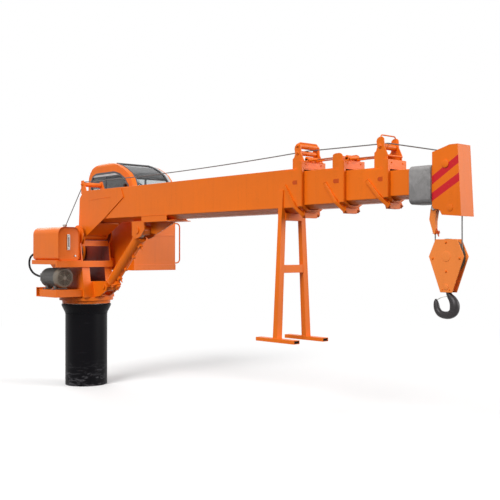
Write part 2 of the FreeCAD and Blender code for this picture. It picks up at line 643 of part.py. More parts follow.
def tube(a, b, width, wall):
    start, end = Vector(*a), Vector(*b)
    heading = end - start
    square = Part.makeBox(width, width, heading.Length, Vector(-width / 2, -width / 2, 0))
    hollow = Part.makeBox(width - 2 * wall, width - 2 * wall, heading.Length + 2,
                          Vector(-width / 2 + wall, -width / 2 + wall, -1))
    out = square.cut(hollow)
    spin = FreeCAD.Rotation(Vector(0, 0, 1), heading)
    out.Placement = FreeCAD.Placement(start, spin)
    return out


postFoot = (restX, restHalfFoot + 1.5, postLow - 10)
postHead = (restX, restHalfTop - 1.5, saddleBottom + 10)
post = tube(postFoot, postHead, restTube, restWall)
post = post.common(box(restX - 100, restX + 100, 0, 400, postLow, saddleBottom))
foot = tube((restX - restFootLong / 2, restHalfFoot, restFootZ + restTube / 2),
            (restX + restFootLong / 2, restHalfFoot, restFootZ + restTube / 2), restTube, restWall)
crossZ = 1922
cross = box(restX - 30, restX + 30, -restHalfFoot, restHalfFoot, crossZ - 48, crossZ + 48)
core = tube(postFoot, postHead, restTube, restTube / 2 - 1)
for side in both(core):
    cross = cross.cut(side)
cross = max(cross.Solids, key=lambda s: s.Volume)
saddle = [box(restX - 60, restX + 60, -half - 30, half + 30, saddleBottom, saddleBottom + 60),
          box(restX - 60, restX + 60, -80, 80, saddleBottom + 60, under)]
clamp = box(restX - 50, restX + 50, half, half + 12, saddleBottom + 60, under + 265)
save("boom_rest", fuse(saddle + [cross] + both(clamp) + both(post) + both(foot)))
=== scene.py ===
import bpy
import bmesh
import json
import math
from mathutils import Matrix, Vector

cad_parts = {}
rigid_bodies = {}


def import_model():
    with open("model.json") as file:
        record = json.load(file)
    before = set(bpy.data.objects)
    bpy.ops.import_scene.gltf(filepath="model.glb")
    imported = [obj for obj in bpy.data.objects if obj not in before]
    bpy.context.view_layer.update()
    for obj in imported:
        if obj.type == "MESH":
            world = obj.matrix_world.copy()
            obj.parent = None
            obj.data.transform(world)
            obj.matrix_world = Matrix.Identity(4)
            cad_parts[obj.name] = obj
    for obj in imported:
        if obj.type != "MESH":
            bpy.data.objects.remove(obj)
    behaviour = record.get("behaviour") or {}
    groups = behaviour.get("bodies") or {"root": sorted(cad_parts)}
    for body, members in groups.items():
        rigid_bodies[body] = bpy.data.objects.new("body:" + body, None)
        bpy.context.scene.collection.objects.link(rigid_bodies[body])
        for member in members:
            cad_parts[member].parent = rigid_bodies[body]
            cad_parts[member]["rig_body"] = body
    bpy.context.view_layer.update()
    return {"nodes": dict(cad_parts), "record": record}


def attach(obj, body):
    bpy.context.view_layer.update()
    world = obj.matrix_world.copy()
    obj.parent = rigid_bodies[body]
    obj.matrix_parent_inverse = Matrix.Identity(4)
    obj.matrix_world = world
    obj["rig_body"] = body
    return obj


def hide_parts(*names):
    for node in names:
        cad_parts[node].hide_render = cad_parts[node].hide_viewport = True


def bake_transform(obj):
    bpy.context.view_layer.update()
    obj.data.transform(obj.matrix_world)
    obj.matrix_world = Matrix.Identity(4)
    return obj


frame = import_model()
nodes = frame["nodes"]
bodyOf = {name: node["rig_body"] for name, node in nodes.items()}
slotOf = {part["node"]: part["material_slot"] for part in frame["record"]["subparts"]}
scene = bpy.context.scene
print("frame loaded:", len(nodes), "nodes")


# material building blocks
def newMaterial(name):
    mat = bpy.data.materials.new(name)
    mat.use_nodes = True
    return mat, mat.node_tree, mat.node_tree.nodes["Principled BSDF"]


def feed(tree, node, values):  # sockets are linked, plain values are set
    for key, value in values.items():
        if isinstance(value, bpy.types.NodeSocket):
            tree.links.new(value, node.inputs[key])
        else:
            node.inputs[key].default_value = value


def add(tree, kind, values=None, **settings):
    node = tree.nodes.new(kind)
    for key, value in settings.items():
        setattr(node, key, value)
    feed(tree, node, values or {})
    return node


def made(tree, kind, values=None, **settings):  # the new node's first output
    return add(tree, kind, values, **settings).outputs[0]


def objectPlace(tree, scale=(1, 1, 1)):
    coords = add(tree, "ShaderNodeTexCoord").outputs["Object"]
    return made(tree, "ShaderNodeMapping", {"Vector": coords, "Scale": scale})


def axisOf(tree, place, axis):
    return add(tree, "ShaderNodeSeparateXYZ", {0: place}).outputs[axis]


def noise(tree, place, scale, detail=3.0, rough=0.5, warp=0.0):
    return made(tree, "ShaderNodeTexNoise",
                {"Vector": place, "Scale": scale, "Detail": detail, "Roughness": rough, "Distortion": warp})


def ramp(tree, fac, low, high, lowValue=0.0, highValue=1.0):
    return made(tree, "ShaderNodeMapRange",
                {"Value": fac, "From Min": low, "From Max": high, "To Min": lowValue, "To Max": highValue})


def calc(tree, operation, a, b=0.0):
    return made(tree, "ShaderNodeMath", {0: a, 1: b}, operation=operation)


def mixColour(tree, fac, a, b):
    return add(tree, "ShaderNodeMix", {0: fac, 6: a, 7: b}, data_type="RGBA").outputs[2]


def srgb(r, g, b, amount=1.0):
    def lin(c):
        c /= 255
        return (c / 12.92 if c <= 0.04045 else ((c + 0.055) / 1.055) ** 2.4) * amount
    return (lin(r), lin(g), lin(b), 1.0)


def finish(tree, shader, colour, rough, height, strength, distance):
    bump = made(tree, "ShaderNodeBump", {"Height": height, "Strength": strength, "Distance": distance})
    feed(tree, shader, {"Base Color": colour, "Roughness": rough, "Normal": bump})


orangePaint = {"colour": (234, 112, 14), "light": 1.06, "dark": 0.93, "grime": 0.2, "peel": 0.1}
fadedPaint = dict(orangePaint, colour=(242, 136, 62), light=1.05, dark=0.95, grime=0.15)
# darker, dirtier orange: painted shade in the collar slots, also given to the rope clip
dirtAndShadeLook = dict(orangePaint, colour=(204, 76, 8), light=1.0, dark=0.85, grime=0.4)


def sprayedPaint(name, look=orangePaint):
    mat, tree, shader = newMaterial(name)
    place = objectPlace(tree)
    cloud = noise(tree, place, 1.4, 4.0)
    drips = noise(tree, objectPlace(tree, (11, 11, 0.9)), 1.5, 5.0, 0.6)
    specks = noise(tree, place, 70.0, 5.0, 0.7)
    tone = mixColour(tree, ramp(tree, cloud, 0.3, 0.7), srgb(*look["colour"], look["dark"]),
                     srgb(*look["colour"], look["light"]))
    dirt = ramp(tree, calc(tree, "MULTIPLY", drips, specks), 0.27, 0.45, 0.0, look["grime"])
    tone = mixColour(tree, dirt, tone, srgb(*look["colour"], 0.42))
    peel = calc(tree, "MULTIPLY", noise(tree, place, 240.0, 2.0), look["peel"])
    height = calc(tree, "ADD", peel, noise(tree, place, 3.0, 2.0))
    finish(tree, shader, tone, ramp(tree, cloud, 0.25, 0.75, 0.34, 0.48), height, 0.1, 0.004)
    feed(tree, shader, {"Specular IOR Level": 0.2, "Coat Weight": 0.05, "Coat Roughness": 0.16})
    return mat


# bands as slope, rise and half height in the boom's upright plane, on faces outside "outer"
headStripes = {"red": (203, 30, 40), "outer": 0.1112,
               "bands": ((0.63, -1.4455, 0.043), (0.58, -1.2736, 0.043))}


def stripedPaint():  # two slanting red bands on the cheeks of the boom head
    mat = sprayedPaint("stripedHeadPaint")
    tree = mat.node_tree
    shader = tree.nodes["Principled BSDF"]
    plain = shader.inputs["Base Color"].links[0].from_socket
    place = objectPlace(tree)
    x, z = axisOf(tree, place, "X"), axisOf(tree, place, "Z")
    masks = []
    for slope, rise, half in headStripes["bands"]:
        away = calc(tree, "SUBTRACT", calc(tree, "SUBTRACT", z, calc(tree, "MULTIPLY", x, slope)), rise)
        masks.append(calc(tree, "LESS_THAN", calc(tree, "ABSOLUTE", away), half))
    side = calc(tree, "ABSOLUTE", axisOf(tree, place, "Y"))
    outer = calc(tree, "GREATER_THAN", side, headStripes["outer"])
    mask = calc(tree, "MULTIPLY", calc(tree, "MAXIMUM", *masks), outer)
    worn = ramp(tree, noise(tree, place, 38.0, 5.0, 0.6), 0.66, 0.72, 1.0, 0.55)
    red = mixColour(tree, calc(tree, "MULTIPLY", mask, worn), plain, srgb(*headStripes["red"]))
    feed(tree, shader, {"Base Color": red})
    return mat


def columnBlack():  # gloss black, rubbed pale towards the foot
    mat, tree, shader = newMaterial("columnBlack")
    place = objectPlace(tree)
    low = ramp(tree, axisOf(tree, place, "Z"), 0.0, 0.42, 1.0, 0.0)
    rub = noise(tree, objectPlace(tree, (3.0, 3.0, 8.0)), 2.6, 6.0, 0.62, 0.4)
    scuff = calc(tree, "MULTIPLY", ramp(tree, rub, 0.5, 0.74), low)
    scratch = noise(tree, objectPlace(tree, (2.0, 2.0, 60.0)), 1.4, 4.0, 0.6)
    mark = calc(tree, "MAXIMUM", scuff, ramp(tree, scratch, 0.66, 0.74, 0.0, 0.16))
    tone = mixColour(tree, mark, srgb(9, 8, 12), srgb(104, 102, 106))
    rough = ramp(tree, mark, 0, 1, 0.38, 0.65)
    finish(tree, shader, tone, rough, noise(tree, place, 5.0), 0.15, 0.004)
    feed(tree, shader, {"Specular IOR Level": 0.07})
    return mat


def enamel(name, colour, rough, stain=0.3, gloss=0.5):
    mat, tree, shader = newMaterial(name)
    place = objectPlace(tree)
    cloud = noise(tree, place, 9.0, 5.0, 0.6)
    oily = ramp(tree, noise(tree, place, 3.4, 4.0, 0.6), 0.46, 0.72, 0.0, stain)
    tone = mixColour(tree, ramp(tree, cloud, 0.3, 0.7), srgb(*colour, 0.86), srgb(*colour, 1.12))
    tone = mixColour(tree, oily, tone, srgb(88, 66, 46))
    finish(tree, shader, tone, ramp(tree, cloud, 0.3, 0.7, rough - 0.08, rough + 0.1),
           noise(tree, place, 190.0, 2.0), 0.12, 0.001)
    feed(tree, shader, {"Specular IOR Level": gloss})
    return mat


def smudgedShadedPrimer():  # grey primer with hand marks, and painted shade along the lower edge
    mat, tree, shader = newMaterial("smudgedShadedPrimer")
    place = objectPlace(tree)
    smear = noise(tree, place, 9.0, 6.0, 0.65, 0.8)
    spots = ramp(tree, noise(tree, place, 26.0, 4.0, 0.6), 0.56, 0.68, 0.0, 0.3)
    tone = mixColour(tree, ramp(tree, smear, 0.3, 0.7), srgb(122, 120, 119), srgb(160, 157, 156))
    tone = mixColour(tree, spots, tone, srgb(92, 88, 86))
    # painted shade towards the lower edge of the sleeve
    low = ramp(tree, axisOf(tree, place, "Z"), 2.62, 2.9, 0.6, 0.0)
    finish(tree, shader, mixColour(tree, low, tone, srgb(78, 77, 78)), ramp(tree, smear, 0.3, 0.7, 0.5, 0.68),
           smear, 0.25, 0.002)
    return mat


def metal(name, colour, rough, metallic=1.0):
    mat, tree, shader = newMaterial(name)
    grain = noise(tree, objectPlace(tree), 45.0, 5.0, 0.65)
    tone = mixColour(tree, ramp(tree, grain, 0.3, 0.7), srgb(*colour, 0.75), srgb(*colour, 1.1))
    finish(tree, shader, tone, ramp(tree, grain, 0.3, 0.7, rough - 0.08, rough + 0.12), grain, 0.1, 0.001)
    feed(tree, shader, {"Metallic": metallic})
    return mat


def strandedRope(name, crown, groove, metallic):  # wire rope, with painted shade in the valleys between strands
    mat, tree, shader = newMaterial(name)
    valleyShade = add(tree, "ShaderNodeAttribute", attribute_name="valleyShade").outputs["Fac"]
    grain = noise(tree, objectPlace(tree), 300.0, 3.0, 0.6)
    tone = mixColour(tree, valleyShade, srgb(*crown), srgb(*groove))
    tone = mixColour(tree, ramp(tree, grain, 0.5, 0.7, 0.0, 0.5), tone, srgb(*groove, 1.8))
    finish(tree, shader, tone, ramp(tree, grain, 0.3, 0.7, 0.42, 0.6), grain, 0.2, 0.001)
    feed(tree, shader, {"Metallic": metallic})
    return mat


def cabPane():  # clear, darker towards the roof
    mat, tree, shader = newMaterial("cabPane")
    place = objectPlace(tree)
    haze = ramp(tree, noise(tree, place, 4.0, 4.0, 0.6), 0.3, 0.8, 0.02, 0.08)
    shade = ramp(tree, axisOf(tree, place, "Z"), 3.28, 3.42)
    tint = mixColour(tree, shade, srgb(226, 230, 231), srgb(172, 175, 180))
    feed(tree, shader, {"Roughness": haze, "Base Color": tint, "Transmission Weight": 1.0, "IOR": 1.45})
    return mat


finishOf = {}


def coat(slot, mat):  # the first material of a slot is its plain finish
    finishOf.setdefault(slot, mat)
    return mat


orange = coat("orange_paint", sprayedPaint("orangePaint"))
faded = coat("orange_paint", sprayedPaint("fadedBlockPaint", fadedPaint))
dirtAndShadeOrange = coat("orange_paint", sprayedPaint("dirtAndShadePaint", dirtAndShadeLook))
striped = coat("orange_paint", stripedPaint())
# dark red standing in as painted shade on the turret's inner faces
insideShadeRed = coat("orange_paint", enamel("insideShadeRed", (128, 40, 20), 0.6, 0.25))
black = coat("black_paint", columnBlack())
motorGrey = coat("grey_paint", enamel("motorGrey", (96, 94, 91), 0.42))
fanGrey = coat("grey_paint", enamel("fanGrey", (112, 103, 90), 0.46))
primer = coat("grey_primer", smudgedShadedPrimer())
ropeSteel = coat("wire_rope", strandedRope("strandedRope", (136, 133, 131), (46, 42, 40), 0.55))
sprayedRope = coat("wire_rope", strandedRope("oversprayedRope", (226, 116, 52), (120, 52, 22), 0.0))
turned = coat("bare_steel", metal("turnedSteel", (160, 158, 154), 0.36))
# dark greasy steel, darkened further as painted shade of the sheaves between the cheeks
greaseAndShadeSteel = coat("bare_steel", metal("sheaveGreaseAndShade", (78, 66, 56), 0.45, 0.7))
zinc = coat("bare_steel", metal("zincSteel", (176, 174, 168), 0.34))
chromed = coat("chrome_rod", metal("oiledRod", (128, 112, 98), 0.3))
forged = coat("black_iron", metal("forgedBlack", (46, 42, 43), 0.42, 0.35))
rubber = coat("hose_rubber", enamel("blackRubber", (30, 30, 31), 0.6, 0.1, 0.25))
gasket = coat("hose_rubber", enamel("greyGasket", (84, 84, 86), 0.55, 0.1))
vinyl = coat("hose_rubber", enamel("seatVinyl", (48, 52, 60), 0.5, 0.1))
tubeEndShade = coat("hose_rubber", enamel("tubeEndShadePaint", (15, 12, 13), 0.7, 0.05, 0.08))
glass = coat("cab_glass", cabPane())
gaugeWhite = coat("gauge_plastic", enamel("gaugeWhite", (232, 232, 228), 0.3, 0.05))
lining = coat("gauge_plastic", enamel("cabLining", (70, 62, 60), 0.7, 0.15))
# near black on the slide pads, painted shade of the gap between sections
padGapShade = coat("gauge_plastic", enamel("padGapShadePaint", (34, 24, 20), 0.75, 0.1, 0.1))
paleTrim = coat("gauge_plastic", enamel("paleTrim", (186, 184, 184), 0.4, 0.1))
print("materials ready")


# mesh tools
def link(name, mesh, mats):
    piece = bpy.data.objects.new(name, mesh)
    scene.collection.objects.link(piece)
    for mat in mats if isinstance(mats, list) else [mats]:
        mesh.materials.append(mat)
    return piece


def smooth(mesh, angle):
    mesh.shade_smooth()
    mesh.set_sharp_from_angle(angle=math.radians(angle))


def meshFrom(name, bm, angle):
    bmesh.ops.recalc_face_normals(bm, faces=bm.faces)
    mesh = bpy.data.meshes.new(name)
    bm.to_mesh(mesh)
    bm.free()
    smooth(mesh, angle)
    return mesh


def baked(holder):  # the mesh with its modifiers applied
    graph = bpy.context.evaluated_depsgraph_get()
    return bpy.data.meshes.new_from_object(holder.evaluated_get(graph), depsgraph=graph)


def evenNormals(piece, weight):  # wide flats keep their own shading beside rounded edges
    mod = piece.modifiers.new("even", "WEIGHTED_NORMAL")
    mod.keep_sharp = True
    mod.weight = weight
    mesh = baked(piece)
    piece.modifiers.remove(mod)
    old, piece.data = piece.data, mesh
    bpy.data.meshes.remove(old)
    mesh.name = piece.name


def pieceFrom(name, bm, mat, body, stands=(), angle=35, weight=80):
    piece = link(name, meshFrom(name, bm, angle), mat)
    evenNormals(piece, weight)
    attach(piece, body)
    if stands:
        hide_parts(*stands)
    return piece


def soften(bm, width, segments=2, angle=32):
    edges = [e for e in bm.edges if len(e.link_faces) == 2 and e.calc_face_angle(0.0) > math.radians(angle)]
    bmesh.ops.bevel(bm, geom=edges, offset=width, segments=segments, affect="EDGES", profile=0.5,
                    clamp_overlap=True, loop_slide=False)


def around(count, start=0.0):  # even angles of one turn
    return [start + 2 * math.pi * i / count for i in range(count)]


def roundSpots(at, radius, count, axis, start=0.0):  # spots on a circle about an axis
    across, up = {"X": (1, 2), "Y": (0, 2), "Z": (0, 1)}[axis]
    spots = []
    for angle in around(count, start):
        spot = list(at)
        spot[across] += radius * math.cos(angle)
        spot[up] += radius * math.sin(angle)
        spots.append(spot)
    return spots


def skin(bm, rows, close=False):  # faces between rows of corners, where a row of one corner is a pole
    for a, b in zip(rows, rows[1:] + rows[:1] if close else rows[1:]):
        count = max(len(a), len(b))
        for i in range(count):
            j = (i + 1) % count
            corners = (a[i % len(a)], b[i % len(b)], b[j % len(b)], a[j % len(a)])
            corners = list(dict.fromkeys(corners))
            if len(corners) > 2:
                bm.faces.new(corners)


def addBox(bm, low, high, turn=None):
    verts = bmesh.ops.create_cube(bm, size=1.0)["verts"]
    low, high = Vector(low), Vector(high)
    bmesh.ops.scale(bm, vec=high - low, verts=verts)
    if turn:
        bmesh.ops.rotate(bm, verts=verts, cent=(0, 0, 0), matrix=turn)
    bmesh.ops.translate(bm, vec=(low + high) / 2, verts=verts)


def addLoft(bm, outline, other):  # solid between two outlines of 3-D points
    base = [bm.verts.new(p) for p in outline]
    top = [bm.verts.new(p) for p in other]
    bm.faces.new(base)
    bm.faces.new(top[::-1])
    skin(bm, [base, top])


def addPrism(bm, outline, depth):  # outline as 3-D points, pushed along depth
    addLoft(bm, outline, [Vector(p) + Vector(depth) for p in outline])


def mirrored(half):  # lathe profile that is the same at both ends
    return [*half, *((-along, radius) for along, radius in reversed(half))]


# profile of (distance along axis, radius); a pole closes each open end, or a ring closes on itself
def addLathe(bm, profile, at, axis, sides, ring=False):
    axis = Vector(axis).normalized()
    u = axis.orthogonal().normalized()
    v = axis.cross(u)
    first, last = [[] if ring or not radius else [(along, 0)] for along, radius in (profile[0], profile[-1])]
    rows = []
    for along, radius in [*first, *profile, *last]:
        centre = Vector(at) + axis * along
        spokes = [u * math.cos(angle) + v * math.sin(angle) for angle in around(sides)] if radius else [u * 0]
        rows.append([bm.verts.new(centre + spoke * radius) for spoke in spokes])
    skin(bm, rows, ring)


def spline(points, per=8):  # smooth run through the points
    pts = [Vector(p) for p in points]
    pts = [pts[0] * 2 - pts[1]] + pts + [pts[-1] * 2 - pts[-2]]
    out = []
    for a, b, c, d in zip(pts, pts[1:], pts[2:], pts[3:]):
        for k in range(per):
            t = k / per
            out.append(0.5 * (2 * b + (c - a) * t + (2 * a - 5 * b + 4 * c - d) * t * t
                              + (3 * b - a - 3 * c + d) * t ** 3))
    return out + [pts[-2]]


def evenRun(points, step):  # same path at even steps
    out = [points[0]]
    left = step
    for a, b in zip(points, points[1:]):
        length = (b - a).length
        while left <= length:
            out.append(a.lerp(b, left / length))
            left += step
        left -= length
    if (points[-1] - out[-1]).length > step * 0.3:
        out.append(points[-1])
    return out


def addSweep(bm, path, ringAt, closed=False, up=None):  # ringAt(place along) gives (u, v) offsets
    pts = [Vector(p) for p in path]
    last = len(pts) - 1
    heads = []
    for i, p in enumerate(pts):
        before = pts[i - 1] if i or closed else p
        after = pts[(i + 1) % len(pts)] if i < last or closed else p
        heads.append((after - before).normalized())
    side = Vector(up) if up else heads[0].orthogonal()
    rows = []
    along = 0.0
    for i, (p, head) in enumerate(zip(pts, heads)):
        side = (side - head * side.dot(head)).normalized()
        across = head.cross(side)
        along += (p - pts[i - 1]).length if i else 0.0
        rows.append([bm.verts.new(p + side * u + across * v) for u, v in ringAt(along)])
    skin(bm, rows, closed)
    if not closed:
        bm.faces.new(rows[0][::-1])
        bm.faces.new(rows[-1])
    return rows


def addFrame(bm, loop, plane, wide, thick):  # mitred strip round a closed flat loop, wide in the plane
    pts = [Vector(p) for p in loop]
    plane = Vector(plane).normalized()
    rows = []
    for i, p in enumerate(pts):
        before = (p - pts[i - 1]).normalized().cross(plane)
        after = (pts[(i + 1) % len(pts)] - p).normalized().cross(plane)
        out = (before + after) / (1 + before.dot(after))
        rows.append([bm.verts.new(p + out * a * wide / 2 + plane * b * thick / 2)
                     for a, b in ((-1, -1), (1, -1), (1, 1), (-1, 1))])
    skin(bm, rows, True)


def circle(radius, sides=12):
    ring = [(radius * math.cos(angle), radius * math.sin(angle)) for angle in around(sides)]
    return lambda along: ring


def flat(wide, thick):
    ring = [(-thick / 2, -wide / 2), (thick / 2, -wide / 2), (thick / 2, wide / 2), (-thick / 2, wide / 2)]
    return lambda along: ring


def arc(centre, radius, start, end, count=24, y=0.0):  # arc in the boom's upright plane, degrees
    angles = [math.radians(start + (end - start) * i / count) for i in range(count + 1)]
    x, z = centre
    return [Vector((x + radius * math.cos(angle), y, z + radius * math.sin(angle))) for angle in angles]


def copyOf(node, flatten=True):  # merged copy of a node's mesh, its flats made one face each
    bm = bmesh.new()
    bm.from_mesh(nodes[node].data)
    bmesh.ops.remove_doubles(bm, verts=bm.verts, dist=2e-5)
    if flatten:
        bmesh.ops.dissolve_limit(bm, angle_limit=math.radians(0.4), verts=bm.verts, edges=bm.edges)
    return bm


softEdge = 0.0035


def dress(node, mat, second=None):  # the node's own shape with rounded edges
    bm = copyOf(node)
    for face in bm.faces if second else ():
        face.material_index = int(second(face.calc_center_median(), face.normal))
    soften(bm, softEdge)
    pieceFrom(node + "_dressed", bm, mat, bodyOf[node], [node])


# geometry node trees
def newTree(name, sizes):
    tree = bpy.data.node_groups.new(name, "GeometryNodeTree")
    tree.interface.new_socket("Geometry", in_out="INPUT", socket_type="NodeSocketGeometry")
    for label, value in sizes.items():
        kind = "NodeSocketInt" if isinstance(value, int) else "NodeSocketFloat"
        tree.interface.new_socket(label, in_out="INPUT", socket_type=kind).default_value = value
    tree.interface.new_socket("Geometry", in_out="OUTPUT", socket_type="NodeSocketGeometry")
    return tree, tree.nodes.new("NodeGroupInput").outputs


def closeTree(tree, instances, mat):
    real = made(tree, "GeometryNodeRealizeInstances", {"Geometry": instances})
    paint = made(tree, "GeometryNodeSetMaterial", {"Geometry": real, "Material": mat})
    add(tree, "NodeGroupOutput", {0: paint})
    return tree


def growPiece(name, seedMesh, tree, sizes, mat, body, angle=35):
    holder = bpy.data.objects.new(name + "_seed", seedMesh)
    scene.collection.objects.link(holder)
    mod = holder.modifiers.new("grow", "NODES")
    mod.node_group = tree
    for socket in tree.interface.items_tree:
        if socket.in_out == "INPUT" and socket.name in sizes:
            mod[socket.identifier] = sizes[socket.name]
    mesh = baked(holder)
    holder.modifiers.remove(mod)
    bpy.data.objects.remove(holder)
    mesh.materials.clear()
    smooth(mesh, angle)
    piece = link(name, mesh, mat)
    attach(piece, body)


boltSizes = {"Head width": 0.012, "Head height": 0.011, "Washer width": 0.016}
beadSizes = {"Bead step": 0.008, "Bead radius": 0.0055}


def boltTree(mat):
    tree, given = newTree("hexBolts", boltSizes)
    head = made(tree, "GeometryNodeMeshCylinder",
                {"Vertices": 6, "Radius": given["Head width"], "Depth": given["Head height"]})
    cap = made(tree, "GeometryNodeMeshCone",
               {"Vertices": 6, "Radius Bottom": given["Head width"], "Radius Top": 0.008, "Depth": 0.003})
    washer = made(tree, "GeometryNodeMeshCylinder",
                  {"Vertices": 14, "Radius": given["Washer width"], "Depth": 0.003})
    lift = made(tree, "GeometryNodeTransform", {"Geometry": head, "Translation": (0, 0, 0.007)})
    liftCap = made(tree, "GeometryNodeTransform", {"Geometry": cap, "Translation": (0, 0, 0.0125)})
    join = tree.nodes.new("GeometryNodeJoinGeometry")
    for part in (liftCap, lift, washer):
        tree.links.new(part, join.inputs[0])
    aim = made(tree, "GeometryNodeInputNamedAttribute", {"Name": "aim"}, data_type="FLOAT_VECTOR")
    size = made(tree, "GeometryNodeInputNamedAttribute", {"Name": "size"}, data_type="FLOAT")
    turn = made(tree, "FunctionNodeAlignRotationToVector", {"Vector": aim}, axis="Z")
    spread = made(tree, "GeometryNodeInstanceOnPoints",
                  {"Points": given["Geometry"], "Instance": join.outputs[0], "Rotation": turn, "Scale": size})
    return closeTree(tree, spread, mat)


def weldTree(mat):
    tree, given = newTree("weldBeads", beadSizes)
    curve = made(tree, "GeometryNodeMeshToCurve", {"Mesh": given["Geometry"]})
    run = made(tree, "GeometryNodeResampleCurve", {"Curve": curve, "Length": given["Bead step"]},
               mode="LENGTH")
    scale = made(tree, "GeometryNodeMeshIcoSphere", {"Radius": given["Bead radius"], "Subdivisions": 1})
    wobble = made(tree, "FunctionNodeRandomValue",
                  {"Min": (0.8, 0.8, 0.8), "Max": (1.1, 1.1, 1.1), "Seed": 7}, data_type="FLOAT_VECTOR")
    spread = made(tree, "GeometryNodeInstanceOnPoints", {"Points": run, "Instance": scale, "Scale": wobble})
    return closeTree(tree, spread, mat)


boltPaint = boltTree(orange)
beadPaint = weldTree(orange)
bolts = {}
beads = {}


def bolt(body, at, aim, size=1.0):
    bolts.setdefault(body, []).append((Vector(at), Vector(aim).normalized(), size))


def bead(body, *points):
    beads.setdefault(body, []).append([Vector(p) for p in points])


cheeks = {"inner": 0.252, "rear": -0.5, "low": 1.425}
luffEye = {"at": (1.62, 2.45), "radius": 0.105}


def insideTurret(at, normal):  # faces between the cheeks, given a dark red as painted shade
    inside = abs(at.y) < cheeks["inner"] and at.x > cheeks["rear"] and at.z > cheeks["low"]
    return inside and normal.y * at.y < -0.01


def rodEye(at, normal):
    return math.dist((at.x, at.z), luffEye["at"]) < luffEye["radius"]


ownShape = ("rope_winch", "rope_base", "rope_mid", "rope_tip", "rope_head", "rope_live", "rope_dead",
            "extension_rope", "wedge_socket", "tip_sleeve", "collar_", "boom_rest", "cab_glass", "cab_shell",
            "hook", "winch_drum", "pump_motor", "suction_hose", "level_gauge")
ownLook = {"boom_head": (striped,), "head_sheave": (greaseAndShadeSteel,), "block_sheave": (greaseAndShadeSteel,),
           "turret_frame": ([orange, insideShadeRed], insideTurret), "luff_rod": ([chromed, orange], rodEye)}
for node in nodes:  # plain dressed solids
    if not node.startswith(ownShape):
        dress(node, *ownLook.get(node, (finishOf[slotOf[node]],)))
    elif node.startswith("cab_glass") and node != "cab_glass_front":
        nodes[node].data.materials.clear()
        nodes[node].data.materials.append(glass)
print("plain nodes dressed")


# hoist rope
hoistRope = {"radius": 0.007, "strands": 6, "lay": 0.095, "step": 0.009, "sag": 0.035, "mat": ropeSteel}
extension = {"radius": 0.009, "strands": 6, "lay": 0.11, "step": 0.011, "mat": sprayedRope,
             "lift": (-0.02, 0.016), "still": 0.3,
             "socket": ((0, 0.012), (0.018, 0.013), (0.02, 0.017), (0.04, 0.017), (0.042, 0.011),
                        (0.12, 0.01), (0.128, 0.0075))}
strandRelief = (0.93, 0.09)


# rope along the points, riding on bodyA, or left unattached in place when bodyB is given
def ropePiece(name, points, bodyA, bodyB=None, stands=(), look=hoistRope):
    bm = bmesh.new()
    layer = bm.verts.layers.float.new("valleyShade")
    strands = look["strands"]
    angles = around(strands * 3)

    def ring(along):
        out = []
        for angle in angles:
            radius = look["radius"] * (strandRelief[0] + strandRelief[1] * math.cos(strands * angle))
            turn = angle + 2 * math.pi * along / look["lay"]
            out.append((radius * math.cos(turn), radius * math.sin(turn)))
        return out

    path = [Vector(p) for p in points]
    for row in addSweep(bm, evenRun(path, look["step"]), ring):
        for vert, angle in zip(row, angles):
            # painted shade darkens the valleys between strands
            vert[layer] = 0.5 - 0.5 * math.cos(strands * angle)
    piece = link(name, meshFrom(name, bm, 60), look["mat"])
    if bodyB:
        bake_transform(piece)
    else:
        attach(piece, bodyA)
    if stands:
        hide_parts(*stands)


def ends(node):  # the two end centres of a straight rope solid
    verts = [v.co.copy() for v in nodes[node].data.vertices]
    box = [max(v[i] for v in verts) - min(v[i] for v in verts) for i in range(3)]
    axis = box.index(max(box))
    verts.sort(key=lambda v: v[axis])
    capDepth = 0.0145

    def middle(group):
        return Vector([(max(v[i] for v in group) + min(v[i] for v in group)) / 2 for i in range(3)])
    return (middle([v for v in verts if v[axis] < verts[0][axis] + capDepth]),
            middle([v for v in verts if v[axis] > verts[-1][axis] - capDepth]))


# places as (x, z), wraps as radius and the degrees from and to
tackle = {"sheave": (6.975, 3.005), "wrap": (0.12, 102, 0), "block": (6.935, 2.075),
          "blockWrap": (0.16, 180, 360), "liveX": 7.095, "deadX": 6.775, "deadTop": 2.3, "bendTop": 2.62,
          "bendLow": 2.42}
tailRoller = {"at": (0.165, 3.215), "wrap": (0.043, 141, 89), "ropeY": -0.13}
collarTwoX = 5.62


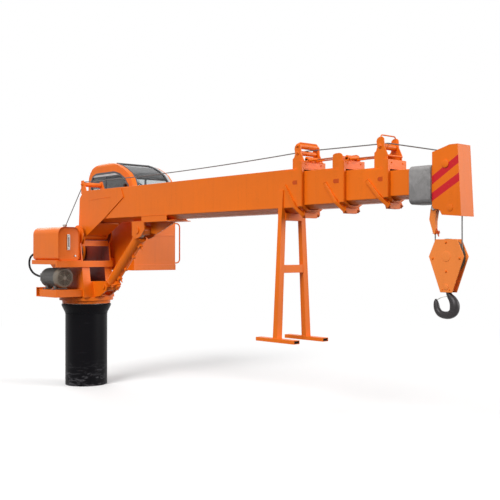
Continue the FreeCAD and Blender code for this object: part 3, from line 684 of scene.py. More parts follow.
def hoistRuns():
    winchRun, baseRun, midRun, tipRun = [ends("rope_" + run) for run in ("winch_run", "base", "mid", "tip")]
    sagged = [baseRun[0].lerp(baseRun[1], t) - Vector((0, 0, hoistRope["sag"] * 4 * t * (1 - t)))
              for t in (i / 40 for i in range(41))]
    midSplit = midRun[0].lerp(midRun[1], (collarTwoX - midRun[0].x) / (midRun[1].x - midRun[0].x))
    ropePiece("ropeWinchRun", winchRun, "turret", "boom_base", ["rope_winch_run"])
    ropePiece("ropeBaseRun", sagged, "boom_base", stands=["rope_base"])
    ropePiece("ropeMidRear", [midRun[0], midSplit], "boom_base", "section_2", ["rope_mid"])
    ropePiece("ropeMidFront", [midSplit, midRun[1]], "section_2", "section_3")
    ropePiece("ropeTipRun", tipRun, "section_3", "section_4", ["rope_tip"])
    liveX, deadX, blockZ = tackle["liveX"], tackle["deadX"], tackle["block"][1]
    bendTop, bendLow = Vector((liveX, 0, tackle["bendTop"])), (liveX, 0, tackle["bendLow"])
    headWrap = arc(tackle["sheave"], *tackle["wrap"])
    ropePiece("ropeHeadWrap", headWrap + [bendTop], "section_4", stands=["rope_head"])
    ropePiece("ropeLiveBend", [bendTop, bendLow], "section_4", "falls")
    ropePiece("ropeLiveFall", [bendLow, (liveX, 0, blockZ)], "falls", "hook_block", ["rope_live"])
    ropePiece("ropeDeadFall", [(deadX, 0, tackle["deadTop"]), (deadX, 0, blockZ)], "falls", "hook_block",
              ["rope_dead"])
    ropePiece("ropeBlockWrap", arc(tackle["block"], *tackle["blockWrap"]), "hook_block")
    tailWrap = arc(tailRoller["at"], *tailRoller["wrap"], 12, tailRoller["ropeY"])
    ropePiece("ropeTailWrap", tailWrap, "boom_base")


def extensionRopes():
    bodies = [("boom_base", "section_2")] * 2 + [("section_2", "section_3")] * 2
    for index, (near, far) in enumerate(bodies, 1):
        node = "extension_rope_%d" % index
        a, b = ends(node)
        a.z, b.z = a.z + extension["lift"][0], b.z + extension["lift"][1]
        ropePiece("extensionRope%d" % index, [a, b], near, far, [node], extension)
        bm = bmesh.new()  # swaged socket with a lock nut
        addLathe(bm, extension["socket"], a, b - a, 14)
        pieceFrom("extensionSocket%d" % index, bm, orange, near)


hoistRuns()
extensionRopes()
print("ropes laid")

# winch drum with a layer of rope
winch = {"at": (-0.58, 2.15), "flange": 0.205, "half": 0.215, "axle": (0.275, 0.035), "core": 0.139,
         "layer": 0.148, "rope": 0.007, "flangeBolts": 0.17, "capBolts": (0.045, -0.2995)}


def winchDrum():
    x, z = winch["at"]
    half, flange, rope = winch["half"], winch["flange"], winch["rope"]
    end, axle = winch["axle"]
    bm = bmesh.new()
    drum = mirrored([(-end, axle), (-half, axle), (-half, flange - 0.004), (-half + 0.004, flange),
                     (-half + 0.009, flange), (-half + 0.012, flange - 0.004),
                     (-half + 0.013, winch["core"])])
    addLathe(bm, drum, (x, 0, z), (0, 1, 0), 64)
    pieceFrom("winchDrum", bm, orange, "turret", ["winch_drum"])
    turns, corners = int((2 * half - 0.026) / (2 * rope)), 40
    layer = winch["layer"]
    coil = [(x + layer * math.cos(angle), -half + 0.02 + rope * angle / math.pi, z + layer * math.sin(angle))
            for angle in (2 * math.pi * i / corners for i in range(turns * corners + 1))]
    bm = bmesh.new()
    addSweep(bm, coil, circle(rope * 0.97, 8), up=(0, 1, 0))
    pieceFrom("winchRopeLayer", bm, ropeSteel, "turret", angle=60)
    for side in (-1, 1):
        for spot in roundSpots((x, side * half, z), winch["flangeBolts"], 8, "Y"):
            bolt("turret", spot, (0, side, 0), 0.8)
    radius, y = winch["capBolts"]
    for spot in roundSpots((x, y, z), radius, 4, "Y", math.pi / 4):
        bolt("turret", spot, (0, -1, 0), 0.7)


winchDrum()

# pump motor: finned body, ringed fan cover, bell housing, pump
motor = {"y": -0.565, "z": 1.73, "radius": 0.14, "rear": -0.2, "front": 0.21, "fan": 0.158, "fanEnd": 0.3,
         "bell": ((-0.045, 0.11), (-0.038, 0.128), (-0.012, 0.13), (-0.006, 0.15), (0.014, 0.15)),
         "adapter": ((-0.292, 0.072), (-0.285, 0.078), (-0.262, 0.078), (-0.25, 0.098), (-0.244, 0.098)),
         "pumpRing": ((-0.3, 0.062), (-0.29, 0.062)), "bellBolts": 0.09,
         "terminalBox": ((-0.1, 0.085, 0.055), (0.08, 0.155, 0.125)),
         "terminalLid": ((-0.105, 0.15, 0.05), (0.085, 0.158, 0.13)),
         "pumpBody": ((-0.4, -0.05, -0.058), (-0.335, 0.05, 0.062)),
         "pumpCover": ((-0.337, -0.055, -0.06), (-0.3, 0.055, 0.065)),
         "feet": (-0.13, 0.12), "footPad": ((-0.04, -0.125, 1.546), (0.04, 0.125, 1.566)),
         "footWeb": ((-0.035, -0.01, 1.56), (0.035, 0.01, 1.64)), "webY": 0.075, "footBoltY": 0.108,
         "rings": (0.118, 0.103, 0.088, 0.073, 0.058, 0.043), "ringWire": 0.0042, "spokes": 6, "blades": 7}
finSizes = {"Fin count": 44, "Fin height": 0.014, "Fin length": motor["front"] - motor["rear"] - 0.05,
            "Body radius": motor["radius"]}


def finTree(mat):
    tree, given = newTree("motorFins", finSizes)
    ring = made(tree, "GeometryNodeMeshCircle",
                {"Vertices": given["Fin count"], "Radius": given["Body radius"]})
    depth = calc(tree, "MULTIPLY", given["Fin height"], 2.0)
    size = made(tree, "ShaderNodeCombineXYZ", {"X": depth, "Y": 0.004, "Z": given["Fin length"]})
    fin = made(tree, "GeometryNodeMeshCube", {"Size": size})
    share = calc(tree, "DIVIDE", made(tree, "GeometryNodeInputIndex"), given["Fin count"])
    turn = made(tree, "ShaderNodeCombineXYZ", {"Z": calc(tree, "MULTIPLY", share, 2 * math.pi)})
    spread = made(tree, "GeometryNodeInstanceOnPoints", {"Points": ring, "Instance": fin, "Rotation": turn})
    middle = ((motor["rear"] + motor["front"]) / 2, motor["y"], motor["z"])
    laid = made(tree, "GeometryNodeTransform",
                {"Geometry": spread, "Rotation": (0, math.pi / 2, 0), "Translation": middle})
    return closeTree(tree, laid, mat)


def shifted(box, *shift):
    return [Vector(corner) + Vector(shift) for corner in box]


def motorBody():
    y, z, rear, front = motor["y"], motor["z"], motor["rear"], motor["front"]
    at, shaft = (0, y, z), (1, 0, 0)
    bm = bmesh.new()
    shell = [(rear + along, radius) for along, radius in motor["bell"]]
    shell += [(rear + 0.02, motor["radius"]), (front - 0.02, motor["radius"]), (front - 0.014, 0.15),
              (front, 0.15)]
    for profile, sides in ((shell, 56), (motor["adapter"], 40), (motor["pumpRing"], 32)):
        addLathe(bm, profile, at, shaft, sides)
    pieceFrom("motorBody", bm, motorGrey, "turret", ["pump_motor"])
    bm = bmesh.new()
    for x in motor["feet"]:
        addBox(bm, *shifted(motor["footPad"], x, y, 0))
        for side in (-1, 1):
            addBox(bm, *shifted(motor["footWeb"], x, y + side * motor["webY"], 0))
            bolt("turret", (x, y + side * motor["footBoltY"], motor["footPad"][1][2]), (0, 0, 1), 0.8)
    for box in ("terminalBox", "terminalLid", "pumpBody", "pumpCover"):
        addBox(bm, *shifted(motor[box], *at))
    soften(bm, 0.004)
    pieceFrom("motorFeetAndPump", bm, motorGrey, "turret")
    seed = bpy.data.meshes.new("finSeed")
    growPiece("motorFinRow", seed, finTree(motorGrey), finSizes, motorGrey, "turret")
    for spot in roundSpots((rear + motor["bell"][0][0], y, z), motor["bellBolts"], 6, "X", 0.3):
        bolt("turret", spot, (-1, 0, 0), 0.7)


def motorFan():
    y, z, front, cover, end = motor["y"], motor["z"], motor["front"], motor["fan"], motor["fanEnd"]
    at, shaft = (0, y, z), (1, 0, 0)
    bm = bmesh.new()
    shroud = [(front - 0.012, 0.14), (front - 0.012, cover - 0.002), (end - 0.03, cover),
              (end - 0.012, cover - 0.006), (end - 0.002, cover - 0.02), (end, cover - 0.032),
              (end - 0.004, cover - 0.034), (end - 0.016, cover - 0.012), (end - 0.03, cover - 0.006),
              (front, cover - 0.006)]
    addLathe(bm, shroud, at, shaft, 64, True)
    for index, radius in enumerate(motor["rings"]):
        ring = roundSpots((end - 0.003 + 0.0006 * index, y, z), radius, 48, "X")
        addSweep(bm, ring, circle(motor["ringWire"], 6), closed=True, up=shaft)
    face = Vector((end - 0.006, y, z))
    for angle in around(motor["spokes"], math.pi / 6):
        out = Vector((0, math.cos(angle), math.sin(angle)))
        addSweep(bm, [face + out * 0.03, face + out * 0.128], flat(0.008, 0.003), up=shaft)
    addLathe(bm, [(end - 0.006, 0.034), (end + 0.001, 0.032), (end + 0.002, 0)], at, shaft, 32)
    pieceFrom("fanCover", bm, fanGrey, "turret")
    bm = bmesh.new()
    base = Vector((end - 0.055, y, z))
    for angle in around(motor["blades"]):  # in the dark behind the rings
        out = Vector((0, math.cos(angle), math.sin(angle)))
        across = Vector((0, -math.sin(angle), math.cos(angle)))
        addPrism(bm, [base + out * 0.03 - across * 0.012, base + out * 0.135 - across * 0.03,
                      base + out * 0.135 + across * 0.03 + Vector((0.03, 0, 0)),
                      base + out * 0.03 + across * 0.012 + Vector((0.02, 0, 0))], (0.004, 0, 0))
    addLathe(bm, [(end - 0.075, 0.148), (end - 0.07, 0.148)], at, shaft, 48)
    pieceFrom("fanBlades", bm, rubber, "turret")


motorBody()
motorFan()

hose = {"radius": 0.0165, "rib": 0.0011, "ribStep": 0.012,
        "path": ((-0.4, -0.565, 1.74), (-0.45, -0.565, 1.74), (-0.54, -0.578, 1.752), (-0.622, -0.617, 1.795),
                 (-0.672, -0.648, 1.875), (-0.68, -0.659, 1.965), (-0.655, -0.653, 2.045),
                 (-0.6, -0.632, 2.095), (-0.535, -0.625, 2.108), (-0.456, -0.625, 2.108)),
        "fitting": ((0, 0.03), (0.006, 0.03), (0.007, 0.024), (0.026, 0.024), (0.028, 0.02), (0.032, 0.0195),
                    (0.034, 0.022), (0.046, 0.022), (0.048, 0.0185))}


def suctionHose():
    def ring(along):
        rib = hose["rib"] * math.cos(2 * math.pi * along / hose["ribStep"])
        return circle(hose["radius"] + rib, 14)(along)

    bm = bmesh.new()
    addSweep(bm, evenRun(spline(hose["path"], 14), 0.004), ring)
    pieceFrom("suctionHose", bm, rubber, "turret", ["suction_hose"], 60)
    bm = bmesh.new()
    for at in (hose["path"][0], hose["path"][-1]):
        addLathe(bm, hose["fitting"], at, (-1, 0, 0), 24)
    pieceFrom("hoseFittings", bm, zinc, "turret")


gauge = {"x": 0.316, "y": -0.5175, "low": 2.165, "high": 2.41, "half": 0.021, "ticks": 9, "tickStep": 0.0165,
         "nut": ((0.012, 0.013), (0.02, 0.013), (0.022, 0.01))}


def levelGauge():
    x, y, low, high, half = gauge["x"], gauge["y"], gauge["low"], gauge["high"], gauge["half"]
    bm = bmesh.new()
    addBox(bm, (x, y - half, low), (x + 0.014, y + half, high))
    soften(bm, 0.004)
    pieceFrom("gaugeBody", bm, gaugeWhite, "turret", ["level_gauge"])
    bm = bmesh.new()
    for z in (low + 0.018, high - 0.018):
        addLathe(bm, gauge["nut"], (x, y, z), (1, 0, 0), 6)
    for side in (-1, 1):
        edge = y + side * (half + 0.0015)
        addBox(bm, (x, edge - 0.0015, low + 0.006), (x + 0.017, edge + 0.0015, high - 0.006))
    pieceFrom("gaugeFrame", bm, zinc, "turret")
    bm = bmesh.new()
    addBox(bm, (x + 0.013, y - 0.006, low + 0.045), (x + 0.0155, y + 0.006, high - 0.045))
    for tick in range(gauge["ticks"]):
        z = low + 0.055 + tick * gauge["tickStep"]
        addBox(bm, (x + 0.0135, y + 0.009, z), (x + 0.0148, y + (0.013 if tick % 2 else 0.017), z + 0.0025))
    pieceFrom("gaugeScale", bm, lining, "turret")


tankParts = {"fillerAt": (0.1, -0.455, 2.525), "drainAt": (0.316, -0.4, 2.075),
             "filler": ((-0.004, 0.034), (0.004, 0.034), (0.006, 0.026), (0.016, 0.026), (0.018, 0.033),
                        (0.038, 0.033), (0.044, 0.028), (0.046, 0)),
             "drain": ((-0.004, 0.016), (0.012, 0.016), (0.012, 0.01), (0.022, 0.01))}


def tankFittings():
    bm = bmesh.new()
    addLathe(bm, tankParts["filler"], tankParts["fillerAt"], (0, 0, 1), 24)
    addLathe(bm, tankParts["drain"], tankParts["drainAt"], (1, 0, 0), 6)
    pieceFrom("tankFittings", bm, zinc, "turret")


suctionHose()
levelGauge()
tankFittings()
print("power pack built")

# cab, with its outlines as (x, z) and the rear pane's as (y, z)
cab = {"near": 0.4, "far": 1.22, "front": 0.775, "rear": -0.595, "middle": (0.05, 0.81, 2.75),
       "pane": (0.495, 1.125), "sill": (1.84, 1.932), "frame": (0.026, 0.012), "seal": 0.011,
       "edge": ((0.15, 3.604), (0.32, 3.552), (0.47, 3.485), (0.6, 3.407), (0.689, 3.315), (0.738, 3.215),
                (0.765, 3.09), (0.775, 2.96), (0.775, 2.66)),
       "side": ((-0.5, 2.72), (-0.5, 3.33), (-0.44, 3.415), (-0.33, 3.45), (0.2, 3.45), (0.36, 3.41),
                (0.5, 3.33), (0.61, 3.21), (0.655, 3.06), (0.66, 2.72)),
       "door": ((-0.28, 1.95), (0.64, 1.95), (0.68, 2.7), (0.675, 3.1), (0.6, 3.29), (0.42, 3.45),
                (0.2, 3.49), (-0.28, 3.49)),
       "back": ((0.495, 2.78), (1.125, 2.78), (1.125, 3.23), (0.495, 3.23)),
       "hinges": (2.1, 2.6, 3.02), "hinge": (0.6, 0.69, 0.075), "hingePin": (0.045, 0.011),
       "rail": ((-0.422, -0.004, 3.398), (0.335, 0.004, 3.43)), "seam": (0.43, 1.19, 2.395, 2.425),
       "bars": (((-0.078, -0.012, 2.722), (-0.042, 0.012, 3.448)),
                ((-0.06, -0.008, 3.35), (0.47, 0.008, 3.374)),
                ((-0.495, -0.006, 3.3), (-0.06, 0.006, 3.318)))}
doorHandle = {"x": -0.22, "grip": ((0, 2.52), (0.046, 2.5), (0.046, 2.38), (0, 2.36)), "half": 0.035,
              "plate": (2.32, 2.56)}
wiper = {"arm": ((0.782, 0.62, 2.66), (0.8, 0.62, 2.68), (0.806, 0.95, 2.8)), "post": (0.774, 0.62, 2.64),
         "blade": ((0.79, 0.8, 2.68), (0.796, 1.05, 2.91)), "boss": ((0, 0.022), (0.024, 0.018), (0.026, 0))}
seat = {"lean": -8, "cushion": ((-0.1, 0.66, 2.28), (0.36, 1.02, 2.4)),
        "back": ((-0.2, 0.67, 2.36), (-0.08, 1.01, 2.95)),
        "headrest": ((-0.25, 0.74, 2.98), (-0.16, 0.94, 3.17)),
        "arms": (((-0.06, 0.6, 2.42), (0.3, 0.66, 2.5)), ((-0.06, 1.02, 2.42), (0.3, 1.08, 2.5)))}
consoles = {"boxes": (((-0.02, 0.74, 1.86), (0.26, 0.94, 2.29)), ((0.1, 0.47, 1.86), (0.42, 0.59, 2.46)),
                      ((0.1, 1.03, 1.86), (0.42, 1.15, 2.46)), ((0.6, 0.55, 1.86), (0.74, 1.07, 2.5))),
            "levers": (0.53, 1.09), "knobAt": (0.36, 2.6),
            "stick": ((0.36, 2.45), (0.37, 2.56), (0.36, 2.62)),
            "knob": ((0, 0.014), (0.03, 0.022), (0.07, 0.02), (0.09, 0.01), (0.092, 0))}


def cabShell():
    bm = copyOf("cab_shell")
    middle = Vector(cab["middle"])
    for face in bm.faces:  # lining on the faces that look inwards
        at = face.calc_center_median()
        if face.normal.dot(middle - at) > 0.12 and cab["near"] + 0.01 < at.y < cab["far"] - 0.01:
            face.material_index = 1
    soften(bm, 0.004, angle=40)
    pieceFrom("cabShell", bm, [orange, lining], "turret", ["cab_shell"], 40, 50)
    pieceFrom("frontPane", copyOf("cab_glass_front", False), glass, "turret", ["cab_glass_front"])


def cabWindows():
    near, far = cab["near"], cab["far"]
    low, high = cab["pane"]
    bm = bmesh.new()
    for y in (near - 0.001, far + 0.001):
        addFrame(bm, [(x, y, z) for x, z in cab["side"]], (0, 1, 0), *cab["frame"])
    for y in (low, high):
        addSweep(bm, [(x, y, z) for x, z in cab["edge"]], circle(cab["seal"], 10), up=(0, 1, 0))
    for x, z in (cab["edge"][0], cab["edge"][-1]):
        addSweep(bm, [(x, low - 0.008, z), (x, high + 0.008, z)], circle(cab["seal"], 10), up=(0, 0, 1))
    addFrame(bm, [(cab["rear"], y, z) for y, z in cab["back"]], (1, 0, 0), *cab["frame"])
    pieceFrom("windowGaskets", bm, gasket, "turret")
    bm = bmesh.new()  # pale strip beside the front pane on the far edge
    strip = [(x + 0.002, high + 0.036, z + 0.001) for x, z in cab["edge"]]
    addSweep(bm, strip, flat(0.052, 0.006), up=(1, 0, 1))
    for y in (near - 0.003, far + 0.003):  # header rail over the sliding windows
        addBox(bm, *shifted(cab["rail"], 0, y, 0))
    pieceFrom("paleCabTrim", bm, paleTrim, "turret")
    bm = bmesh.new()
    for y in (near + 0.014, far - 0.014):  # sliding window frames
        for box in cab["bars"]:
            addBox(bm, *shifted(box, 0, y, 0))
    soften(bm, 0.003)
    pieceFrom("windowBars", bm, vinyl, "turret")


def cabTrim():
    near, far, front, rear = cab["near"], cab["far"], cab["front"], cab["rear"]
    bm = bmesh.new()  # sill band, seam rail and door hinges
    sillLow, sillTop = cab["sill"]
    lap, level = front - 0.004, (sillLow + sillTop) / 2
    band = [(lap, near, level), (lap, far, level), (rear, far, level), (rear, near, level)]
    addFrame(bm, band, (0, 0, 1), 0.012, sillTop - sillLow)
    y0, y1, z0, z1 = cab["seam"]
    addBox(bm, (front - 0.002, y0, z0), (front + 0.004, y1, z1))
    x0, x1, tall = cab["hinge"]
    long, radius = cab["hingePin"]
    for z in cab["hinges"]:
        addBox(bm, (x0, far - 0.001, z), (x1, far + 0.012, z + tall))
        pinAt = ((x0 + x1) / 2, far + 0.014, z + tall / 2)
        addLathe(bm, [(-long, radius), (long, radius)], pinAt, (0, 0, 1), 14)
    soften(bm, 0.003)
    pieceFrom("cabBands", bm, orange, "turret")
    bm = bmesh.new()
    y = far + 0.001
    addFrame(bm, [(x, y, z) for x, z in cab["door"]], (0, 1, 0), 0.009, 0.004)
    x, half = doorHandle["x"], doorHandle["half"]
    addSweep(bm, spline([(x, y + out, z) for out, z in doorHandle["grip"]], 6), circle(0.01, 10))
    addBox(bm, (x - half, y - 0.003, doorHandle["plate"][0]), (x + half, y + 0.007, doorHandle["plate"][1]))
    addSweep(bm, wiper["arm"], circle(0.007, 8))
    addSweep(bm, wiper["blade"], flat(0.012, 0.01), up=(1, 0, 0))
    addLathe(bm, wiper["boss"], wiper["post"], (1, 0, 0), 16)
    pieceFrom("cabFittings", bm, rubber, "turret")


def cabInside():
    lean = Matrix.Rotation(math.radians(seat["lean"]), 3, "Y")
    bm = bmesh.new()
    addBox(bm, *seat["cushion"])
    addBox(bm, *seat["back"], lean)
    addBox(bm, *seat["headrest"], lean)
    for box in seat["arms"]:
        addBox(bm, *box)
    soften(bm, 0.026, 3)
    pieceFrom("operatorSeat", bm, vinyl, "turret")
    bm = bmesh.new()
    for box in consoles["boxes"]:
        addBox(bm, *box)
    soften(bm, 0.015)
    knobX, knobZ = consoles["knobAt"]
    for y in consoles["levers"]:
        addSweep(bm, [(x, y, z) for x, z in consoles["stick"]], circle(0.009, 10))
        addLathe(bm, consoles["knob"], (knobX, y, knobZ), (0, 0, 1), 14)
    pieceFrom("cabConsoles", bm, lining, "turret")


cabShell()
cabWindows()
cabTrim()
cabInside()
print("cab built")

# luffing cylinder fittings, along its own axis; blocks as half length, low, high and half width
luff = {"foot": (0.683, 1.594), "pipe": (0.116, -0.012, 0.0075), "ports": (0.3, 1.035),
        "clamps": (0.52, 0.8), "valve": (0.17, 0.15), "port": (0.03, 0.078, 0.122, 0.03),
        "clamp": (0.014, 0.082, 0.128, 0.022), "glandBolts": (1.1305, 0.085),
        "footRing": ((0.106, 0.08), (0.106, 0.092), (0.118, 0.093), (0.122, 0.0885)),
        "wiper": ((1.128, 0.05), (1.128, 0.072), (1.134, 0.07), (1.136, 0.05)),
        "hexCap": ((0, 0.019), (0.012, 0.019), (0.014, 0.015), (0.04, 0.015), (0.042, 0.011), (0.052, 0.011)),
        "union": ((0, 0.016), (0.012, 0.016), (0.014, 0.012), (0.034, 0.012), (0.036, 0.009), (0.05, 0.009))}


def luffFittings():
    foot = Vector((luff["foot"][0], 0, luff["foot"][1]))
    along = Vector((luffEye["at"][0] - foot.x, 0, luffEye["at"][1] - foot.z)).normalized()
    front = Vector((along.z, 0, -along.x))

    def at(station, out=0.0, y=0.0):
        return foot + along * station + front * out + Vector((0, y, 0))

    def block(bm, station, half, low, high, wide):
        corners = ((-half, low), (half, low), (half, high), (-half, high))
        addPrism(bm, [at(station + shift, out, -wide) for shift, out in corners], (0, 2 * wide, 0))

    bm = bmesh.new()
    for station in luff["ports"]:
        block(bm, station, *luff["port"])
    for station in luff["clamps"]:
        block(bm, station, *luff["clamp"])
    soften(bm, 0.003, angle=50)
    addLathe(bm, luff["footRing"], foot, along, 48, True)
    pieceFrom("barrelBosses", bm, orange, "luff_barrel")
    bm = bmesh.new()  # holding valve with its cartridges and hose stubs
    valveAt, out = luff["valve"]
    block(bm, valveAt, 0.058, 0.086, out, 0.042)
    block(bm, valveAt + 0.004, 0.032, out - 0.002, out + 0.026, 0.03)
    soften(bm, 0.004)
    for end in (-1, 1):
        addLathe(bm, luff["hexCap"], at(valveAt + end * 0.057, out - 0.028), along * end, 6)
        addLathe(bm, luff["hexCap"], at(valveAt + end * 0.022, out - 0.022, -0.041), (0, -1, 0), 6)
    addLathe(bm, luff["hexCap"], at(valveAt - 0.024, out - 0.002), front, 12)
    pieceFrom("holdingValve", bm, orange, "luff_barrel")
    bm = bmesh.new()
    low, high = luff["ports"]
    out, y, radius = luff["pipe"]
    pipe = ((low, 0.118), (low + 0.055, out), (0.62, out), (high - 0.055, out), (high, 0.118))
    addSweep(bm, spline([at(station, reach, y) for station, reach in pipe], 10), circle(radius, 10))
    for station in luff["ports"]:
        addLathe(bm, luff["union"], at(station, luff["port"][2], -y), front, 12)
    pieceFrom("barrelPipe", bm, orange, "luff_barrel")
    bm = bmesh.new()
    addLathe(bm, luff["wiper"], foot, along, 40, True)
    pieceFrom("glandWiper", bm, orange, "luff_barrel")
    reach, radius = luff["glandBolts"]
    for angle in around(8):
        bolt("luff_barrel", at(reach, radius * math.cos(angle), radius * math.sin(angle)), along, 0.7)


luffFittings()

# boom section outlines as half width, bend, top, low half width, underside
sections = {"boom_base": (0.18, 2.65, 3.105, 0.08, 2.595), "section_2": (0.157, 2.674, 3.07, 0.07, 2.626),
            "section_3": (0.136, 2.696, 3.03, 0.06, 2.654), "section_4": (0.115, 2.716, 2.985, 0.05, 2.68)}
# collars: hoop, face plate, braces, keel, rope stands, slide pads
collars = {"boom_base": {"node": "collar_1", "inner": "section_2", "front": 5.065, "keel": (0.112, 0.04),
                         "slot": (4.952, 2.941)},
           "section_2": {"node": "collar_2", "inner": "section_3", "front": 5.69, "keel": (0.102, 0.036),
                         "slot": (5.573, 2.919)},
           "section_3": {"node": "collar_3", "inner": "section_4", "front": 6.29, "keel": (0.095, 0.024),
                         "slot": (6.193, 2.902)}}
collarSizes = {"deep": 0.072, "rim": 0.026, "rise": 0.08, "back": 0.29, "drop": 0.07, "plate": 0.012,
               "brace": (0.034, 0.038), "sideGap": 0.006, "topGap": 0.018, "face": 0.01,
               "slot": (0.028, 0.024)}
ropeStands = {"boom_base": {"at": (4.96, 3.289), "half": 0.15, "edge": "tall"},
              "section_2": {"at": (5.584, 3.15), "half": 0.138, "edge": "low", "wall": 5.54},
              "section_3": {"at": (6.164, 3.258), "half": 0.118, "edge": "tall", "wall": 6.1}}
standEdges = {"tall": ((-0.083, -0.067), (-0.059, -0.05), (-0.042, -0.006), (-0.053, 0.052), (-0.044, 0.082),
                       (-0.018, 0.099), (0.026, 0.099), (0.047, 0.079), (0.052, -0.005), (0.093, -0.087)),
              "low": ((-0.088, 0), (-0.084, 0.066), (-0.068, 0.078), (-0.04, 0.084), (0.012, 0.085),
                      (0.038, 0.076), (0.054, 0.06), (0.062, 0.04))}
standPlate = 0.014
anchorRod = {"lift": 0.034, "radius": 0.026, "half": 0.09, "lug": (0.078, 0.09)}
guardTube = {"at": (4.96, 3.373), "radius": 0.034}


def outlineOf(size, grow=0.0, top=0.0):
    half, bend, crown, low, under = size
    thin = min(grow, 0.006)
    right = [(half + grow, crown + top), (half + grow, bend + 0.25 * grow), (low + 0.4 * thin, under - thin)]
    left = [(-y, z) for y, z in right]
    return [left[0], *right, left[2], left[1]]


def addHoop(bm, x0, x1, outer, inner):
    stations = ((x0, outer), (x1, outer), (x1, inner), (x0, inner))
    skin(bm, [[bm.verts.new((x, y, z)) for y, z in loop] for x, loop in stations], True)


def collarHoop(bm, body, collar):
    sizes, outer, front = collarSizes, sections[body], collar["front"]
    face = front - sizes["face"]
    addHoop(bm, front - sizes["deep"], face, outlineOf(outer, sizes["rim"], sizes["rise"]), outlineOf(outer))
    addHoop(bm, face - 0.001, front, outlineOf(outer, sizes["rim"] - 0.003, sizes["rise"] - 0.003),
            outlineOf(sections[collar["inner"]], sizes["sideGap"], sizes["topGap"]))


def collarBraces(bm, body, collar):
    sizes, front = collarSizes, collar["front"]
    half, bend, crown, low, under = sections[body]
    ringX, back, drop = front - sizes["deep"], front - sizes["back"], bend + 0.55 * (crown - bend)
    keelHalf, setBack = collar["keel"]
    tilt = (keelHalf - low) * (bend - under) / (half - low)
    bottom = under - sizes["drop"]
    edge = [(keelHalf - 0.016, bottom), (keelHalf, bottom + 0.038), (keelHalf, under + tilt), (low, under)]
    edge += [(-y, z) for y, z in reversed(edge)]
    addPrism(bm, [(ringX - 0.02, y, z) for y, z in edge], (sizes["deep"] + 0.02 - setBack, 0, 0))
    plate = ((back, crown - 0.02), (ringX - 0.005, crown - 0.02), (ringX - 0.005, bend + 0.008), (back, drop))
    wide, thick = sizes["brace"]
    for side in (-1, 1):
        addPrism(bm, [(x, side * half, z) for x, z in plate], (0, side * sizes["plate"], 0))
        head = Vector((back + 0.004, side * (half + wide / 2), drop + 0.012))
        foot = Vector((front - setBack - 0.006, side * (keelHalf + 0.008), under - 0.044))
        share = (head.z - bend - 0.01) / (head.z - foot.z)
        knee = Vector((head.x + share * (foot.x - head.x), head.y, bend + 0.01))
        addSweep(bm, [head, knee, foot], flat(thick, wide), up=(0, 1, 0))


def collarStands(bm, body):
    stand, crown = ropeStands[body], sections[body][2]
    x, z = stand["at"]
    half = stand["half"]
    points = [(x + a, z + b) for a, b in standEdges[stand["edge"]]]
    points = [(points[0][0], crown)] + points + [(points[-1][0], crown)]
    for side in (-1, 1):
        addPrism(bm, [(px, side * half, pz) for px, pz in points], (0, side * standPlate, 0))
    if "wall" in stand:
        top = crown + collarSizes["rise"] + 0.064
        addBox(bm, (stand["wall"], -half, crown), (stand["wall"] + standPlate, half, top))


def collarPiece(body, collar):
    bm = bmesh.new()
    collarHoop(bm, body, collar)
    collarBraces(bm, body, collar)
    collarStands(bm, body)
    hasAnchor = body != "section_3"  # anchor of the extension ropes
    lift, radius, half = anchorRod["lift"], anchorRod["radius"], anchorRod["half"]
    x, z = collar["front"] - collarSizes["deep"] / 2, sections[body][2] + collarSizes["rise"] + lift
    if hasAnchor:
        near, far = anchorRod["lug"]
        lug = ((-0.026, -lift), (0.026, -lift), (0.018, 0), (-0.018, 0))
        for side in (-1, 1):
            addPrism(bm, [(x + dx, side * near, z + dz) for dx, dz in lug], (0, side * (far - near), 0))
    soften(bm, 0.003, angle=20)
    if hasAnchor:
        rod = mirrored([(-half, radius - 0.003), (-half + 0.003, radius)])
        addLathe(bm, rod, (x, 0, z), (0, 1, 0), 32)
    if body == "boom_base":
        x, z = guardTube["at"]
        addLathe(bm, mirrored([(-ropeStands[body]["half"], guardTube["radius"])]), (x, 0, z), (0, 1, 0), 32)
    pieceFrom(collar["node"] + "_frame", bm, orange, body, [collar["node"]])


def collarDetails(body, collar):
    half, crown = sections[body][0], sections[body][2]
    innerHalf, innerBend, innerTop = sections[collar["inner"]][:3]
    x, z = collar["slot"]
    long, tall = collarSizes["slot"]
    slotShades, pads = bmesh.new(), bmesh.new()
    inset = collar["front"] - collarSizes["face"] - 0.004
    for side in (-1, 1):
        bolt(body, (collar["front"], side * half * 0.72, crown + 0.045), (1, 0, 0), 0.7)
        y = side * (half + 0.0125)
        outline = arc((x + long, z), tall, -90, 90, 8, y) + arc((x - long, z), tall, 90, 270, 8, y)
        # thin dark oval sheet as painted shade of a recessed slot
        addPrism(slotShades, outline, (0, side * 0.0012, 0))
        # slide pads, their near black standing in as painted shade of the gap between sections
        for z0, z1 in ((innerBend + 0.03, innerBend + 0.11), (innerTop - 0.13, innerTop - 0.03)):
            near, far = sorted((side * (innerHalf + 0.0015), side * (half - 0.002)))
            addBox(pads, (inset - 0.03, near, z0), (inset, far, z1))
    addBox(pads, (inset - 0.04, -innerHalf * 0.8, innerTop + 0.0015), (inset, innerHalf * 0.8, crown - 0.003))
    soften(pads, 0.003)
    pieceFrom(body + "_slots", slotShades, dirtAndShadeOrange, body)
    pieceFrom(body + "_slidePads", pads, padGapShade, body)


for body, collar in collars.items():
    collarPiece(body, collar)
    collarDetails(body, collar)

